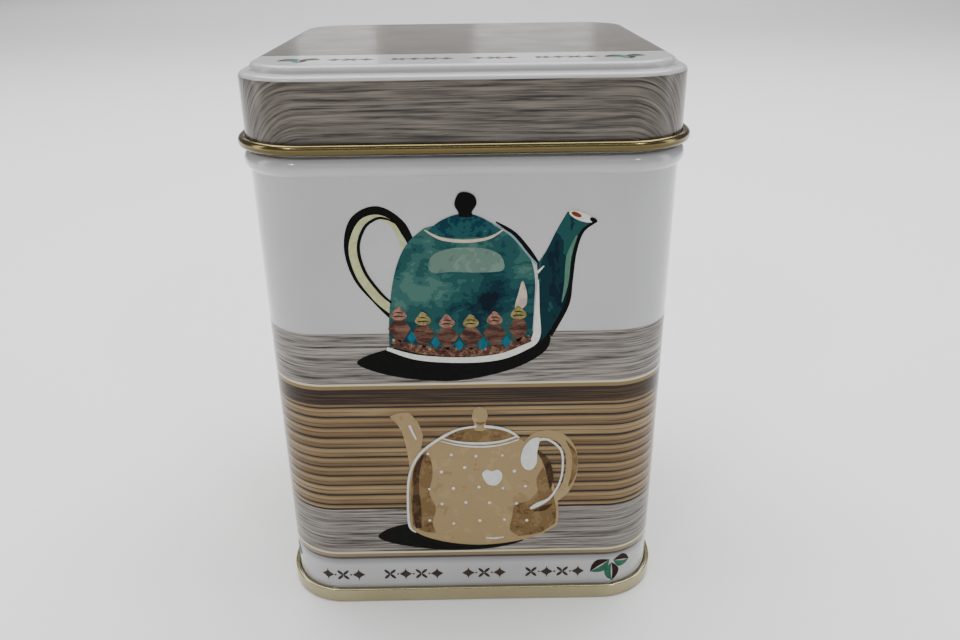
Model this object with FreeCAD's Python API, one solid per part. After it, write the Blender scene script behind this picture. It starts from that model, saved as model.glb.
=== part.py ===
import FreeCAD, Part
import os
from math import cos, radians, sin

# Square slip-lid tea caddy pressed from tinplate, in millimetres, +Z up.
# The origin is the middle of the square that it stands on, and -Y is its front.
# Three pieces: the wrapped body shell, the base end seamed on under it, and the lid.
# Every wall keeps one plan, a square with rounded corners, so a piece is its wall section
# carried round that plan. A section is drawn in X (distance from the middle) and Z.

# Driving dimensions
lid_side = 80.0            # across the lid's skirt, flat to flat
height = 113.5             # table to the lid's raised panel
corner_radius = 11.6       # of the body wall, seen from above
sheet = 0.3                # tinplate thickness

# Body shell
wall_setback = 0.35        # body wall inside the line of the lid's skirt
bead_proud = 1.0           # stop bead, out from the body wall
bead_height = 3.6
bead_gap = 0.4             # bead to the lid's curl
rim_hem = 3.0              # depth that the rim is folded back inside
side_seam_width = 4.0      # lock seam up the back
side_seam_margin = 2.0     # flat wall between the lock seam and the back corner
side_seam_layers = 2       # extra layers of sheet that the lock seam folds inside
side_seam_end_gap = 2.0    # seam to the base panel and to the bead

# Base end and its double seam
base_seam_height = 3.3
base_seam_gap = 0.08       # air between neighbouring layers in the seam
base_seam_round = 0.5
base_hook_end_gap = 0.3    # room past the end of each hook in the seam
base_panel_recess = 3.1    # table to the panel's rim
base_panel_step = 0.6      # raised middle of the panel
base_panel_margin = 5.0    # chuck wall to the step

# Lid
skirt_height = 12.1        # curl's lower edge to where the top edge starts to turn in
curl_height = 2.0
curl_proud = 1.39          # out from the skirt
curl_end_angle = 118.0     # where the curl's cut edge stops short of the skirt
edge_radius = 1.0          # skirt to ledge
ledge_width = 0.7          # flat part of the ledge
panel_rise = 1.5           # ledge to raised panel
riser_foot_radius = 0.4
riser_top_radius = 1.0
panel_inset = 0.9          # flat part of the panel that is drawn with the wall section

# Fits between the lid and the body
neck_clearance = 0.35      # lid skirt to neck, each side
seat_gap = 0.1             # lid ledge to the body's rim

# Half widths, from the middle to the outer face of each wall
lid_half = lid_side / 2
wall_half = lid_half - wall_setback
skirt_inside = lid_half - sheet
neck_half = skirt_inside - neck_clearance
wall_inside = wall_half - sheet
corner_centre = wall_half - corner_radius

# Levels of the lid, and of the neck and bead under it
ledge_z = height - panel_rise
skirt_top_z = ledge_z - edge_radius
curl_low_z = skirt_top_z - skirt_height
rim_z = ledge_z - sheet - seat_gap
bead_top_z = curl_low_z - bead_gap
bead_low_z = bead_top_z - bead_height

# Levels and half widths of the base end
base_panel_top_z = base_panel_recess + sheet
base_centre_z = base_panel_recess + base_panel_step
end_hook_half = wall_half + base_seam_gap
body_hook_half = end_hook_half + sheet + base_seam_gap
seam_cover_half = body_hook_half + sheet + base_seam_gap
chuck_inside = wall_inside - sheet
panel_step_half = chuck_inside - base_panel_margin


def section(start, *steps):
    """Closed face in the XZ plane: a step is an end point, or a point to arc through and an end."""
    def place(point):
        return FreeCAD.Vector(point[0], 0, point[1])

    edges = []
    here = start
    for step in list(steps) + [start]:
        if isinstance(step[0], tuple):
            edges.append(Part.Arc(place(here), place(step[0]), place(step[1])).toShape())
            here = step[1]
        else:
            edges.append(Part.LineSegment(place(here), place(step)).toShape())
            here = step
    return Part.Face(Part.Wire(edges))


def on_arc(centre, radius, degrees):
    """Point on a circle in the section, with 0 degrees straight out and 90 straight up."""
    turn = radians(degrees)
    return (centre[0] + radius * cos(turn), centre[1] + radius * sin(turn))


def ring(face):
    """Carry a wall section round the plan: four straight sides and four turned corners."""
    up = FreeCAD.Vector(0, 0, 1)
    along = FreeCAD.Vector(0, corner_centre, 0)
    side = face.translated(-along).extrude(along * 2)
    pivot = FreeCAD.Vector(corner_centre, corner_centre, 0)
    corner = face.translated(along).revolve(pivot, up, 90)
    lengths = []
    for turn in range(4):
        lengths.append(side.rotated(FreeCAD.Vector(), up, 90 * turn))
        lengths.append(corner.rotated(FreeCAD.Vector(), up, 90 * turn))
    return lengths[0].fuse(lengths[1:])


def plate(half, low_z, top_z):
    """Flat plate of the plan's shape whose flats stand `half` from the middle."""
    radius = half - corner_centre
    blank = Part.makeBox(2 * half, 2 * half, top_z - low_z, FreeCAD.Vector(-half, -half, low_z))
    uprights = [edge for edge in blank.Edges if abs(edge.tangentAt(0).z) > 0.5]
    return blank.makeFillet(radius, uprights)


def body_section():
    """Body wall from the hook in the base seam, up over the stop bead to the hemmed rim."""
    foot = sheet + base_seam_gap
    hook_top = base_seam_height - sheet - base_hook_end_gap
    hook_outside = body_hook_half + sheet
    bead_z = (bead_low_z + bead_top_z) / 2
    neck_inside = neck_half - sheet
    hem_inside = neck_inside - sheet
    rim_turn = rim_z - sheet
    return section(
        (wall_inside, foot),
        (hook_outside, foot),
        (hook_outside, hook_top),
        (body_hook_half, hook_top),
        (body_hook_half, foot + sheet),
        (wall_half, foot + sheet),
        (wall_half, bead_low_z),
        ((wall_half + bead_proud, bead_z), (neck_half, bead_top_z)),
        (neck_half, rim_turn),
        ((neck_inside, rim_z), (hem_inside, rim_turn)),
        (hem_inside, rim_z - rim_hem),
        (neck_inside, rim_z - rim_hem),
        (neck_inside, bead_top_z),
        ((wall_inside + bead_proud, bead_z), (wall_inside, bead_low_z)),
    )


def side_seam():
    """Folded layers of the lock seam that closes the shell, inside the back wall."""
    low = base_centre_z + sheet + side_seam_end_gap
    depth = side_seam_layers * sheet
    corner = FreeCAD.Vector(corner_centre - side_seam_margin - side_seam_width, wall_inside - depth, low)
    return Part.makeBox(side_seam_width, depth, bead_low_z - side_seam_end_gap - low, corner)


def body_shell():
    """Wrapped wall with its neck, stop bead, hemmed rim and lock seam."""
    return ring(body_section()).fuse(side_seam())


def base_section():
    """Base end outside its flat middle: panel, chuck wall, and the cover of the double seam."""
    outside = seam_cover_half + sheet
    turn = base_seam_round
    under = base_seam_height - sheet
    hook_low = sheet + base_seam_gap + sheet + base_hook_end_gap
    slope = panel_step_half + base_panel_step
    inner_foot = (chuck_inside + turn, turn)
    outer_foot = (outside - turn, turn)
    outer_top = (outside - sheet, base_seam_height - sheet)
    inner_top = (end_hook_half + sheet, base_seam_height - sheet)
    return section(
        (panel_step_half, base_centre_z + sheet),
        (panel_step_half, base_centre_z),
        (slope, base_panel_recess),
        (chuck_inside, base_panel_recess),
        (chuck_inside, turn),
        (on_arc(inner_foot, turn, 225), on_arc(inner_foot, turn, 270)),
        (outside - turn, 0.0),
        (on_arc(outer_foot, turn, 315), on_arc(outer_foot, turn, 0)),
        (outside, under),
        (on_arc(outer_top, sheet, 45), on_arc(outer_top, sheet, 90)),
        on_arc(inner_top, sheet, 90),
        (on_arc(inner_top, sheet, 135), on_arc(inner_top, sheet, 180)),
        (end_hook_half, hook_low),
        (end_hook_half + sheet, hook_low),
        (end_hook_half + sheet, under),
        (seam_cover_half, under),
        (seam_cover_half, sheet),
        (wall_inside, sheet),
        (wall_inside, base_panel_top_z),
        (slope, base_panel_top_z),
    )


def base_end():
    """Pressed bottom, held by the double seam round the body's foot."""
    return ring(base_section()).fuse(plate(panel_step_half, base_centre_z, base_centre_z + sheet))


def lid_section():
    """Lid outside its flat middle: curled lower edge, skirt, rounded edge, ledge and riser."""
    curl_outside = lid_half + curl_proud
    radius = (curl_outside - skirt_inside) / 2
    bore = radius - sheet
    low = (curl_outside - radius, curl_low_z + radius)
    top = (curl_outside - radius, curl_low_z + curl_height - radius)
    middle = curl_end_angle / 2
    edge = (lid_half - edge_radius, skirt_top_z)
    ledge_end = edge[0] - ledge_width
    foot = (ledge_end, ledge_z + riser_foot_radius)
    riser_half = ledge_end - riser_foot_radius
    crown = (riser_half - riser_top_radius, height - riser_top_radius)
    flat_half = crown[0] - panel_inset
    return section(
        (skirt_inside, low[1]),
        (on_arc(low, radius, 270), on_arc(low, radius, 0)),
        on_arc(top, radius, 0),
        (on_arc(top, radius, middle), on_arc(top, radius, curl_end_angle)),
        on_arc(top, bore, curl_end_angle),
        (on_arc(top, bore, middle), on_arc(top, bore, 0)),
        on_arc(low, bore, 0),
        (on_arc(low, bore, 270), on_arc(low, bore, 180)),
        (lid_half, skirt_top_z),
        (on_arc(edge, edge_radius, 45), on_arc(edge, edge_radius, 90)),
        (ledge_end, ledge_z),
        (on_arc(foot, riser_foot_radius, 225), on_arc(foot, riser_foot_radius, 180)),
        (riser_half, crown[1]),
        (on_arc(crown, riser_top_radius, 45), on_arc(crown, riser_top_radius, 90)),
        (flat_half, height),
        (flat_half, height - sheet),
        (crown[0], height - sheet),
        (on_arc(crown, riser_top_radius - sheet, 45), on_arc(crown, riser_top_radius - sheet, 0)),
        on_arc(foot, riser_foot_radius + sheet, 180),
        (on_arc(foot, riser_foot_radius + sheet, 225), on_arc(foot, riser_foot_radius + sheet, 270)),
        (edge[0], ledge_z - sheet),
        (on_arc(edge, edge_radius - sheet, 45), on_arc(edge, edge_radius - sheet, 0)),
    )


def lid_shell():
    """Deep-drawn slip lid with a raised top panel and an outward curl."""
    riser_half = lid_half - edge_radius - ledge_width - riser_foot_radius
    flat_half = riser_half - riser_top_radius - panel_inset
    return ring(lid_section()).fuse(plate(flat_half, height - sheet, height))


def main():
    os.makedirs("parts", exist_ok=True)
    pieces = {"body_shell": body_shell(), "base_end": base_end(), "lid_shell": lid_shell()}
    for name, shape in pieces.items():
        solid = shape.removeSplitter().Solids
        if len(solid) != 1 or not solid[0].isValid():
            raise ValueError(name + " is not one valid solid")
        solid[0].exportStep(os.path.join("parts", name + ".step"))
        box = solid[0].optimalBoundingBox()
        print(name, round(box.XLength, 2), round(box.YLength, 2), round(box.ZMin, 2), round(box.ZMax, 2))


main()
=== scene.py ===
import math
import random

import bmesh
import bpy
from mathutils import Matrix, Vector
from mathutils.geometry import delaunay_2d_cdt


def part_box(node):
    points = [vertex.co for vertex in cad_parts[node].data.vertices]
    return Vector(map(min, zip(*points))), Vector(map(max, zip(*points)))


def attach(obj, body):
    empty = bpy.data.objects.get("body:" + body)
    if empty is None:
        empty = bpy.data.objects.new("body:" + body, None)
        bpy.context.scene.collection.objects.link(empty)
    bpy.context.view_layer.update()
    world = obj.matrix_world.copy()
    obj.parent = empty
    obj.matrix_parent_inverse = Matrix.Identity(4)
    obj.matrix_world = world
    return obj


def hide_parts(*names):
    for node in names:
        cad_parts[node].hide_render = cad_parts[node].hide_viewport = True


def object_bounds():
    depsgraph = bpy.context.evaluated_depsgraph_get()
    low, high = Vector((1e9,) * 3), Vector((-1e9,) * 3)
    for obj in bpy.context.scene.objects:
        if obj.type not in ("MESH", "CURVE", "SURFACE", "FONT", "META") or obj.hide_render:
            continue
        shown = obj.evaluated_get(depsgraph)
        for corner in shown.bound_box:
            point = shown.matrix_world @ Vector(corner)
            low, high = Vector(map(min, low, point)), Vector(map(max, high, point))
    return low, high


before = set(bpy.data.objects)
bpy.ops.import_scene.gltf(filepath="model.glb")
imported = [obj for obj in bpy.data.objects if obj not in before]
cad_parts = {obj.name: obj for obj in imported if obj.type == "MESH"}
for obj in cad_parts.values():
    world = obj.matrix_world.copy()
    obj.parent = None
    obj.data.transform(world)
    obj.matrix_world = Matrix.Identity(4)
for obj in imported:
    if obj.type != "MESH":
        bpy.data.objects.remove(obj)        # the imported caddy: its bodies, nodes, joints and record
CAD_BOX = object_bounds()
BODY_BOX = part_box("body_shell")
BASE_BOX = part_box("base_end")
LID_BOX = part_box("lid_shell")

bl_info = {
    "name": "Printed Tea Caddy",
    "version": (1, 0, 0),
    "blender": (4, 5, 0),
    "location": "View3D > Sidebar > Caddy",
    "description": "Builds a printed square tea tin, its slip lid and its artwork round the packed frame",
    "category": "Add Mesh",
}

MM = 0.001
FACES = 4                # the tin's four sides, which all carry the same print
MAP_EDGE = 0.01          # margin of the square that each piece's bake map is laid out in
MAP_WIDTH = 0.97         # length in it of half the way round the tin
WALL_ROW = 0.345         # one half of the wall over the other in it
TIN = "tin"              # bodies of the frame
LID = "lid"


# ---------------------------------------------------------------- sizes and colours

def tone(red, green, blue):
    """Scene-linear colour of a screen colour given from 0 to 255."""
    return tuple((value / 255.0) ** 2.2 for value in (red, green, blue))


def length(name, description, default):
    """Property for a length, given here in millimetres."""
    return bpy.props.FloatProperty(
        name=name, description=description, default=default * MM, unit="LENGTH", precision=5
    )


def colour(name, description, screen):
    """Property for a colour, given here as a screen colour."""
    return bpy.props.FloatVectorProperty(
        name=name, description=description, default=tone(*screen), subtype="COLOR", min=0.0, max=1.0
    )


class CaddySizes(bpy.types.PropertyGroup):
    """Pressed-metal sizes that the frame's boxes don't give."""
    sheet: length("Sheet", "Tinplate thickness", 0.3)
    corner: length("Corner", "Radius of the body wall's corners, seen from above", 11.6)
    seam_width: length("Seam width", "Base seam, out from the body wall", 1.14)
    seam_height: length("Seam height", "Base seam, table to top", 3.3)
    seam_gap: length("Seam gap", "Air between the layers of the base seam", 0.08)
    hook_gap: length("Hook gap", "Room past the end of each hook in the base seam", 0.3)
    seam_round: length("Seam round", "Rounding of the base seam's lower edges", 0.5)
    panel_recess: length("Panel recess", "Table to the base panel's rim", 3.1)
    panel_step: length("Panel step", "Raised middle of the base panel", 0.6)
    panel_margin: length("Panel margin", "Chuck wall to the base panel's step", 5.0)
    bead_proud: length("Bead", "Stop bead, out from the body wall", 1.0)
    bead_height: length("Bead height", "Stop bead, low to high", 3.6)
    hem: length("Hem", "Depth that the rim is folded back inside", 3.0)
    neck_clearance: length("Neck clearance", "Lid skirt to neck, each side", 0.35)
    curl_proud: length("Curl", "Lid curl, out from the skirt", 1.39)
    curl_height: length("Curl height", "Lid curl, low to high", 2.0)
    edge_radius: length("Edge radius", "Lid skirt to ledge", 1.0)
    ledge_width: length("Ledge", "Flat part of the lid's ledge", 0.7)
    panel_rise: length("Panel rise", "Lid ledge to raised panel", 1.5)
    foot_radius: length("Riser foot", "Fillet at the foot of the riser", 0.4)
    crown_radius: length("Riser top", "Rounding at the top of the riser", 1.0)
    lock_margin: length("Lock seam margin", "Flat wall between the lock seam and the back corner", 2.0)
    lock_width: length("Lock seam width", "Width of the lock seam", 4.0)
    film: length("Ink film", "Thickness of one printed layer", 0.03)


class PrintLayout(bpy.types.PropertyGroup):
    """Heights of the printed bands on the wall, and their places on the lid."""
    low_line: length("Low line", "Top of the cream line over the white foot band", 12.8)
    reeds_low: length("Reeds from", "Top of the lower timber shelf", 24.1)
    reeds_high: length("Reeds to", "Underside of the dark plank", 49.2)
    high_line: length("High line", "Top of the cream line under the upper shelf", 53.85)
    timber_high: length("Timber to", "Where the upper timber shelf meets the white wall", 64.7)
    strip_depth: length("Lid strip", "Line on the lid, from the middle towards the front", 23.5)
    lid_timber: length("Lid timber", "Top of the timber on the lid's skirt", 111.25)
    reed_pitch: length("Reed pitch", "Reed to reed", 2.3)


class PrintColours(bpy.types.PropertyGroup):
    """Inks and lacquers."""
    enamel: colour("Enamel", "White base coat", (177, 177, 179))
    timber_light: colour("Timber light", "Pale grey streaks", (166, 159, 152))
    timber_dark: colour("Timber dark", "Dark grey streaks", (38, 33, 29))
    lid_light: colour("Lid timber light", "Pale streaks on the lid", (127, 119, 110))
    lid_dark: colour("Lid timber dark", "Dark streaks on the lid", (32, 29, 26))
    reed_light: colour("Reed light", "Palest reeds", (158, 136, 99))
    reed_mid: colour("Reed mid", "Usual reeds", (104, 79, 51))
    reed_dark: colour("Reed dark", "Gaps between reeds", (22, 13, 6))
    plank: colour("Plank", "Dark plank over the reeds", (27, 15, 5))
    tan_line: colour("Tan line", "Gold-brown part of the lines", (124, 106, 72))
    cream_line: colour("Cream line", "Pale part of the lines", (200, 194, 164))
    dark_line: colour("Dark line", "Darkest part of the lines", (44, 30, 22))
    gold: colour("Gold lacquer", "Lacquer on the lid's curl", (127, 115, 79))
    pale_gold: colour("Pale gold lacquer", "Lacquer on the base and inside", (168, 159, 126))


# ---------------------------------------------------------------- plan and sections

def points_on_arc(centre, radius, start, end, count):
    """Points on a circle of the section, with 0 degrees straight out and 90 straight up."""
    angles = [math.radians(start + (end - start) * i / count) for i in range(count + 1)]
    return [(centre[0] + radius * math.cos(a), centre[1] + radius * math.sin(a)) for a in angles]


def bow(start, crest, end, count):
    """Points on the circle through three points of the section."""
    ax, ay = start
    bx, by = crest
    cx, cy = end
    d = 2 * (ax * (by - cy) + bx * (cy - ay) + cx * (ay - by))
    sa, sb, sc = ax * ax + ay * ay, bx * bx + by * by, cx * cx + cy * cy
    centre = ((sa * (by - cy) + sb * (cy - ay) + sc * (ay - by)) / d,
              (sa * (cx - bx) + sb * (ax - cx) + sc * (bx - ax)) / d)
    first = math.degrees(math.atan2(ay - centre[1], ax - centre[0]))
    last = math.degrees(math.atan2(cy - centre[1], cx - centre[0]))
    return points_on_arc(centre, math.dist(start, centre), first, last, count)


class Plan:
    """Square with rounded corners that every wall follows, measured along the body's wall."""

    CORNER_STEPS = 20
    STRAIGHT_STEPS = 6

    def __init__(self, half, radius):
        self.half = half
        self.radius = radius
        self.straight = half - radius
        self.face = 2 * self.straight + math.pi / 2 * radius

    def at(self, travel):
        """Anchor and outward direction at a distance along the wall from the middle of the front."""
        side = round(travel / self.face)
        along = travel - side * self.face
        over = abs(along) - self.straight
        if over <= 0:
            anchor = Vector((along, -self.straight))
            outward = Vector((0.0, -1.0))
        else:
            turn = over / self.radius
            sign = math.copysign(1.0, along)
            anchor = Vector((sign * self.straight, -self.straight))
            outward = Vector((sign * math.sin(turn), -math.cos(turn)))
        spin = Matrix.Rotation(side * math.pi / 2, 2)
        return spin @ anchor, spin @ outward

    def marks(self, start):
        """Travels once round from a start on a straight wall, close together round the corners."""
        places = {start, start + FACES * self.face}
        for side in range(-FACES, FACES + 1):
            for step in range(self.STRAIGHT_STEPS + 1):
                part = 2 * step / self.STRAIGHT_STEPS - 1
                places.add(side * self.face + part * self.straight)
            for step in range(1, self.CORNER_STEPS):
                turn = math.pi / 2 * step / self.CORNER_STEPS
                places.add(side * self.face + self.straight + turn * self.radius)
        near = 1e-7
        inside = sorted(p for p in places if start + near < p < start + FACES * self.face - near)
        return [start] + inside + [start + FACES * self.face]

    def place(self, travel, half, height):
        """Point of a wall that stands `half` from the middle."""
        anchor, outward = self.at(travel)
        spot = anchor + outward * (half - self.straight)
        return Vector((spot.x, spot.y, height))


def shapes():
    """Sizes and plan shared by every piece."""
    sizes = bpy.context.scene.caddy_sizes
    half = BASE_BOX[1][0] - sizes.seam_width
    return sizes, Plan(half, sizes.corner)


# ---------------------------------------------------------------- meshes

class Skin:
    """A mesh in the making: vertices, faces with a material slot, and one place per map and corner."""

    def __init__(self):
        self.points = []
        self.faces = []
        self.slots = []
        self.maps = {}

    def add(self, points):
        """Adds vertices, and returns the number of the first."""
        first = len(self.points)
        self.points.extend(points)
        return first

    def face(self, corners, slot=0, **maps):
        """Adds a face, with the places of its corners on each map."""
        self.faces.append(corners)
        self.slots.append(slot)
        for name, places in maps.items():
            self.maps.setdefault(name, []).extend(places)

    def build(self, name, materials, body, replaces=None, crease=40):
        """Makes the piece, smooth up to an angle in degrees, and lets it ride on a body."""
        mesh = bpy.data.meshes.new(name)
        mesh.from_pydata([tuple(point) for point in self.points], [], self.faces)
        for label, places in self.maps.items():
            layer = mesh.uv_layers.new(name=label)
            layer.uv.foreach_set("vector", [value for place in places for value in place])
        mesh.polygons.foreach_set("material_index", self.slots)
        work = bmesh.new()
        work.from_mesh(mesh)
        bmesh.ops.remove_doubles(work, verts=work.verts, dist=1e-7)
        bmesh.ops.recalc_face_normals(work, faces=work.faces)
        work.to_mesh(mesh)
        work.free()
        mesh.polygons.foreach_set("use_smooth", [True] * len(mesh.polygons))
        mesh.set_sharp_from_angle(angle=math.radians(crease))
        for material in materials:
            mesh.materials.append(material)
        piece = bpy.data.objects.new(name, mesh)
        bpy.context.scene.collection.objects.link(piece)
        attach(piece, body)
        if replaces:
            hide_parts(replaces)
        return piece


class Run:
    """Part of a wall section: its points, material slot, and a function for its bake place."""

    def __init__(self, points, slot, bake):
        self.points = points
        self.slot = slot
        self.bake = bake


def carry_round(skin, plan, runs, marks, dip=None):
    """Carries a closed section, made of runs that meet end to end, round the plan."""
    for run in runs:
        reach = [0.0]
        for a, b in zip(run.points, run.points[1:]):
            reach.append(reach[-1] + math.dist(a, b))
        rows = []
        for travel in marks:
            points = []
            for half, height in run.points:
                give = dip(travel, height) if dip else 0.0
                points.append(plan.place(travel, half - give, height))
            rows.append(skin.add(points))
        for j in range(len(marks) - 1):
            for i in range(len(run.points) - 1):
                corners = [(j, i), (j + 1, i), (j + 1, i + 1), (j, i + 1)]
                skin.face(
                    [rows[a] + b for a, b in corners],
                    run.slot,
                    Wrap=[(marks[a], run.points[b][1]) for a, b in corners],
                    OFBake=[run.bake(j, marks[a], reach[b]) for a, b in corners],
                )


def flat_middle(skin, plan, half, height, slot, bake):
    """Flat plate of the plan's shape: bands round it, and a square grid in its middle."""
    marks = plan.marks(-2 * plan.face)
    steps = 4
    rings = []
    for step in range(steps + 1):
        ring_half = plan.straight + (half - plan.straight) * step / steps
        rings.append(skin.add([plan.place(travel, ring_half, height) for travel in marks]))

    def fill(corners):
        places = [skin.points[c] for c in corners]
        flat = [(p.x, p.y) for p in places]
        skin.face(corners, slot, Wrap=flat, OFBake=[bake(x, y) for x, y in flat])

    for inner, outer in zip(rings, rings[1:]):
        for j in range(len(marks) - 1):
            corners = [inner + j, outer + j, outer + j + 1, inner + j + 1]
            if (skin.points[inner + j] - skin.points[inner + j + 1]).length < 1e-7:
                corners = corners[:3]
            fill(corners)
    count = plan.STRAIGHT_STEPS
    spots = [(2 * i / count - 1) * plan.straight for i in range(count + 1)]
    grid = skin.add([Vector((x, y, height)) for y in spots for x in spots])
    for row in range(count):
        for column in range(count):
            low = grid + row * (count + 1) + column
            fill([low, low + 1, low + count + 2, low + count + 1])


# ---------------------------------------------------------------- printed films

CURVE_STEPS = 8          # points for each span of a drawn curve
FINEST_STROKE = 0.04     # millimetres


def smooth(points, closed=False):
    """Points along a smooth curve through given points."""
    count = len(points)
    spans = count if closed else count - 1
    out = []
    for i in range(spans):
        if closed:
            p = [points[(i + k) % count] for k in (-1, 0, 1, 2)]
        else:
            p = [points[min(max(i + k, 0), count - 1)] for k in (-1, 0, 1, 2)]
        for step in range(CURVE_STEPS):
            t = step / CURVE_STEPS
            out.append(tuple(
                0.5 * (2 * b + (c - a) * t + (2 * a - 5 * b + 4 * c - d) * t * t
                       + (3 * b - a - 3 * c + d) * t ** 3)
                for a, b, c, d in zip(*p)
            ))
    if not closed:
        out.append(tuple(points[-1]))
    return out


def outline(*curves):
    """Closed outline from open smooth curves that meet in corners."""
    out = []
    for curve in curves:
        out.extend(smooth(curve)[:-1])
    return out


def stroke(path, widths):
    """Outline of a brush stroke along a smooth path, with its width at each point of the path."""
    line = smooth([(x, y, w) for (x, y), w in zip(path, widths)])
    left = []
    right = []
    for i, (x, y, w) in enumerate(line):
        ax, ay, _ = line[max(i - 1, 0)]
        bx, by, _ = line[min(i + 1, len(line) - 1)]
        size = math.hypot(bx - ax, by - ay) or 1.0
        nx, ny = -(by - ay) / size, (bx - ax) / size
        half = max(w, FINEST_STROKE) / 2
        left.append((x + nx * half, y + ny * half))
        right.append((x - nx * half, y - ny * half))
    return left + right[::-1]


def oval(centre, across, up, tilt=0.0, count=28):
    """Outline of an ellipse."""
    out = []
    c, s = math.cos(math.radians(tilt)), math.sin(math.radians(tilt))
    for i in range(count):
        a = 2 * math.pi * i / count
        x, y = across * math.cos(a), up * math.sin(a)
        out.append((centre[0] + x * c - y * s, centre[1] + x * s + y * c))
    return out


def triangles(loop, spacing):
    """Fills an outline with triangles, with inner points a given distance apart."""
    verts = [Vector(p) for p in loop]
    edges = [(i, (i + 1) % len(loop)) for i in range(len(loop))]
    if spacing:
        low, high = [[pick(p[axis] for p in loop) for axis in (0, 1)] for pick in (min, max)]
        x = low[0] + spacing
        while x < high[0]:
            y = low[1] + spacing
            while y < high[1]:
                verts.append(Vector((x, y)))
                y += spacing
            x += spacing
    points, _, faces, _, _, _ = delaunay_2d_cdt(verts, edges, [], 1, 1e-4)
    used = sorted({v for face in faces for v in face})
    index = {v: i for i, v in enumerate(used)}
    return [tuple(points[v]) for v in used], [[index[v] for v in face] for face in faces]


def rim_edges(faces):
    """Edges that only one triangle has, in that triangle's direction."""
    seen = {}
    for face in faces:
        for a, b in zip(face, face[1:] + face[:1]):
            seen[(a, b)] = seen.get((a, b), 0) + 1
    return [edge for edge in seen if (edge[1], edge[0]) not in seen]


def add_film(skin, loop, place, base, top, slot=0, spacing=None):
    """Thin closed slab of ink whose outline is in millimetres on a surface given by `place`."""
    flat, faces = triangles(loop, spacing)
    low = skin.add([place(x * MM, y * MM, base) for x, y in flat])
    high = skin.add([place(x * MM, y * MM, top) for x, y in flat])

    def lay(corners, spots):
        skin.face(corners, slot, Wrap=[(flat[s][0] * MM, flat[s][1] * MM) for s in spots])

    for face in faces:
        lay([high + v for v in face], face)
        lay([low + v for v in reversed(face)], list(reversed(face)))
    for a, b in rim_edges(faces):
        lay([high + b, high + a, low + a, low + b], [b, a, a, b])


def wall_place(plan, side):
    """Function that lays a point of the print on one side of the body wall."""
    def place(across, up, lift):
        return plan.place(side * plan.face + across, plan.half + lift, up)
    return place


def film_piece(name, loops, level, material, spacing=None):
    """One printed layer: the same outlines on all four sides of the tin."""
    sizes, plan = shapes()
    skin = Skin()
    base = (level - 1) * sizes.film if level > 1 else -sizes.film
    for side in range(FACES):
        for loop in loops:
            add_film(skin, loop, wall_place(plan, side), base, level * sizes.film, 0, spacing)
    return skin.build(name, [material], TIN, crease=30)


# ---------------------------------------------------------------- node writing

class Wiring:
    """Short words for adding nodes to one tree and linking them."""

    def __init__(self, tree):
        self.tree = tree

    def add(self, kind, inputs=None, **settings):
        """Adds a shader node with its settings, and its inputs by name or number."""
        node = self.tree.nodes.new("ShaderNode" + kind)
        for key, value in settings.items():
            setattr(node, key, value)
        for key, value in (inputs or {}).items():
            self.feed(node.inputs[key], value)
        return node

    def feed(self, socket, value):
        """Links a socket to an output, or sets its value. A colour needs no alpha."""
        if isinstance(value, bpy.types.NodeSocket):
            self.tree.links.new(value, socket)
        elif socket.type == "RGBA":
            socket.default_value = tuple(value)[:3] + (1.0,)
        else:
            socket.default_value = value

    def group(self, tree, **values):
        """Places a node group with its values, and returns its outputs."""
        return self.add("Group", values, node_tree=tree).outputs

    def maths(self, operation, *values):
        """Result of one sum on values or sockets; the next four are its short forms."""
        return self.add("Math", dict(enumerate(values)), operation=operation).outputs[0]

    def plus(self, a, b):
        return self.maths("ADD", a, b)

    def minus(self, a, b):
        return self.maths("SUBTRACT", a, b)

    def times(self, a, b):
        return self.maths("MULTIPLY", a, b)

    def over(self, a, b):
        return self.maths("DIVIDE", a, b)

    def above(self, value, edge, soft):
        """0 below an edge and 1 above it, with a soft step."""
        ends = {"Value": value, "From Min": edge - soft, "From Max": edge + soft}
        return self.add("MapRange", ends, interpolation_type="SMOOTHSTEP").outputs["Result"]

    def between(self, value, low, high, soft):
        """1 between two edges and 0 outside them."""
        return self.minus(self.above(value, low, soft), self.above(value, high, soft))

    def spread(self, value, low, high, to_low=0.0, to_high=1.0):
        """Straight map from one range to another, held at its ends."""
        ends = {"Value": value, "From Min": low, "From Max": high, "To Min": to_low, "To Max": to_high}
        return self.add("MapRange", ends).outputs["Result"]

    def mix(self, factor, under, over):
        """Colour over another, as far as the factor says."""
        node = self.add("Mix", data_type="RGBA", clamp_factor=True)
        for index, value in ((0, factor), (6, under), (7, over)):
            self.feed(node.inputs[index], value)
        return node.outputs[2]

    def vector(self, x, y, z=0.0):
        """Vector from three values or sockets."""
        return self.add("CombineXYZ", {"X": x, "Y": y, "Z": z}).outputs[0]

    def split(self, vector):
        """The three parts of a vector."""
        return self.add("SeparateXYZ", {"Vector": vector}).outputs

    def place(self):
        """Place on the piece, in metres."""
        return self.add("TexCoord").outputs["Object"]

    def wrap(self):
        """Place on the flat print that is wrapped round the tin, in metres."""
        return self.add("UVMap", uv_map="Wrap").outputs[0]

    def noise(self, vector, scale, detail=2.0, roughness=0.5, distortion=0.0):
        """Smooth noise, mostly from 0.3 to 0.7."""
        values = {"Vector": vector, "Scale": scale, "Detail": detail,
                  "Roughness": roughness, "Distortion": distortion}
        return self.add("TexNoise", values).outputs["Fac"]

    def steps(self, value, colours):
        """Flat tones one after another, as in a print with few inks."""
        node = self.add("ValToRGB", {0: value})
        ramp = node.color_ramp
        ramp.interpolation = "CONSTANT"
        while len(ramp.elements) < len(colours):
            ramp.elements.new(0.5)
        for element, (place, shade) in zip(ramp.elements, colours):
            element.position = place
            element.color = tuple(shade)[:3] + (1.0,)
        return node.outputs[0]


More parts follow.
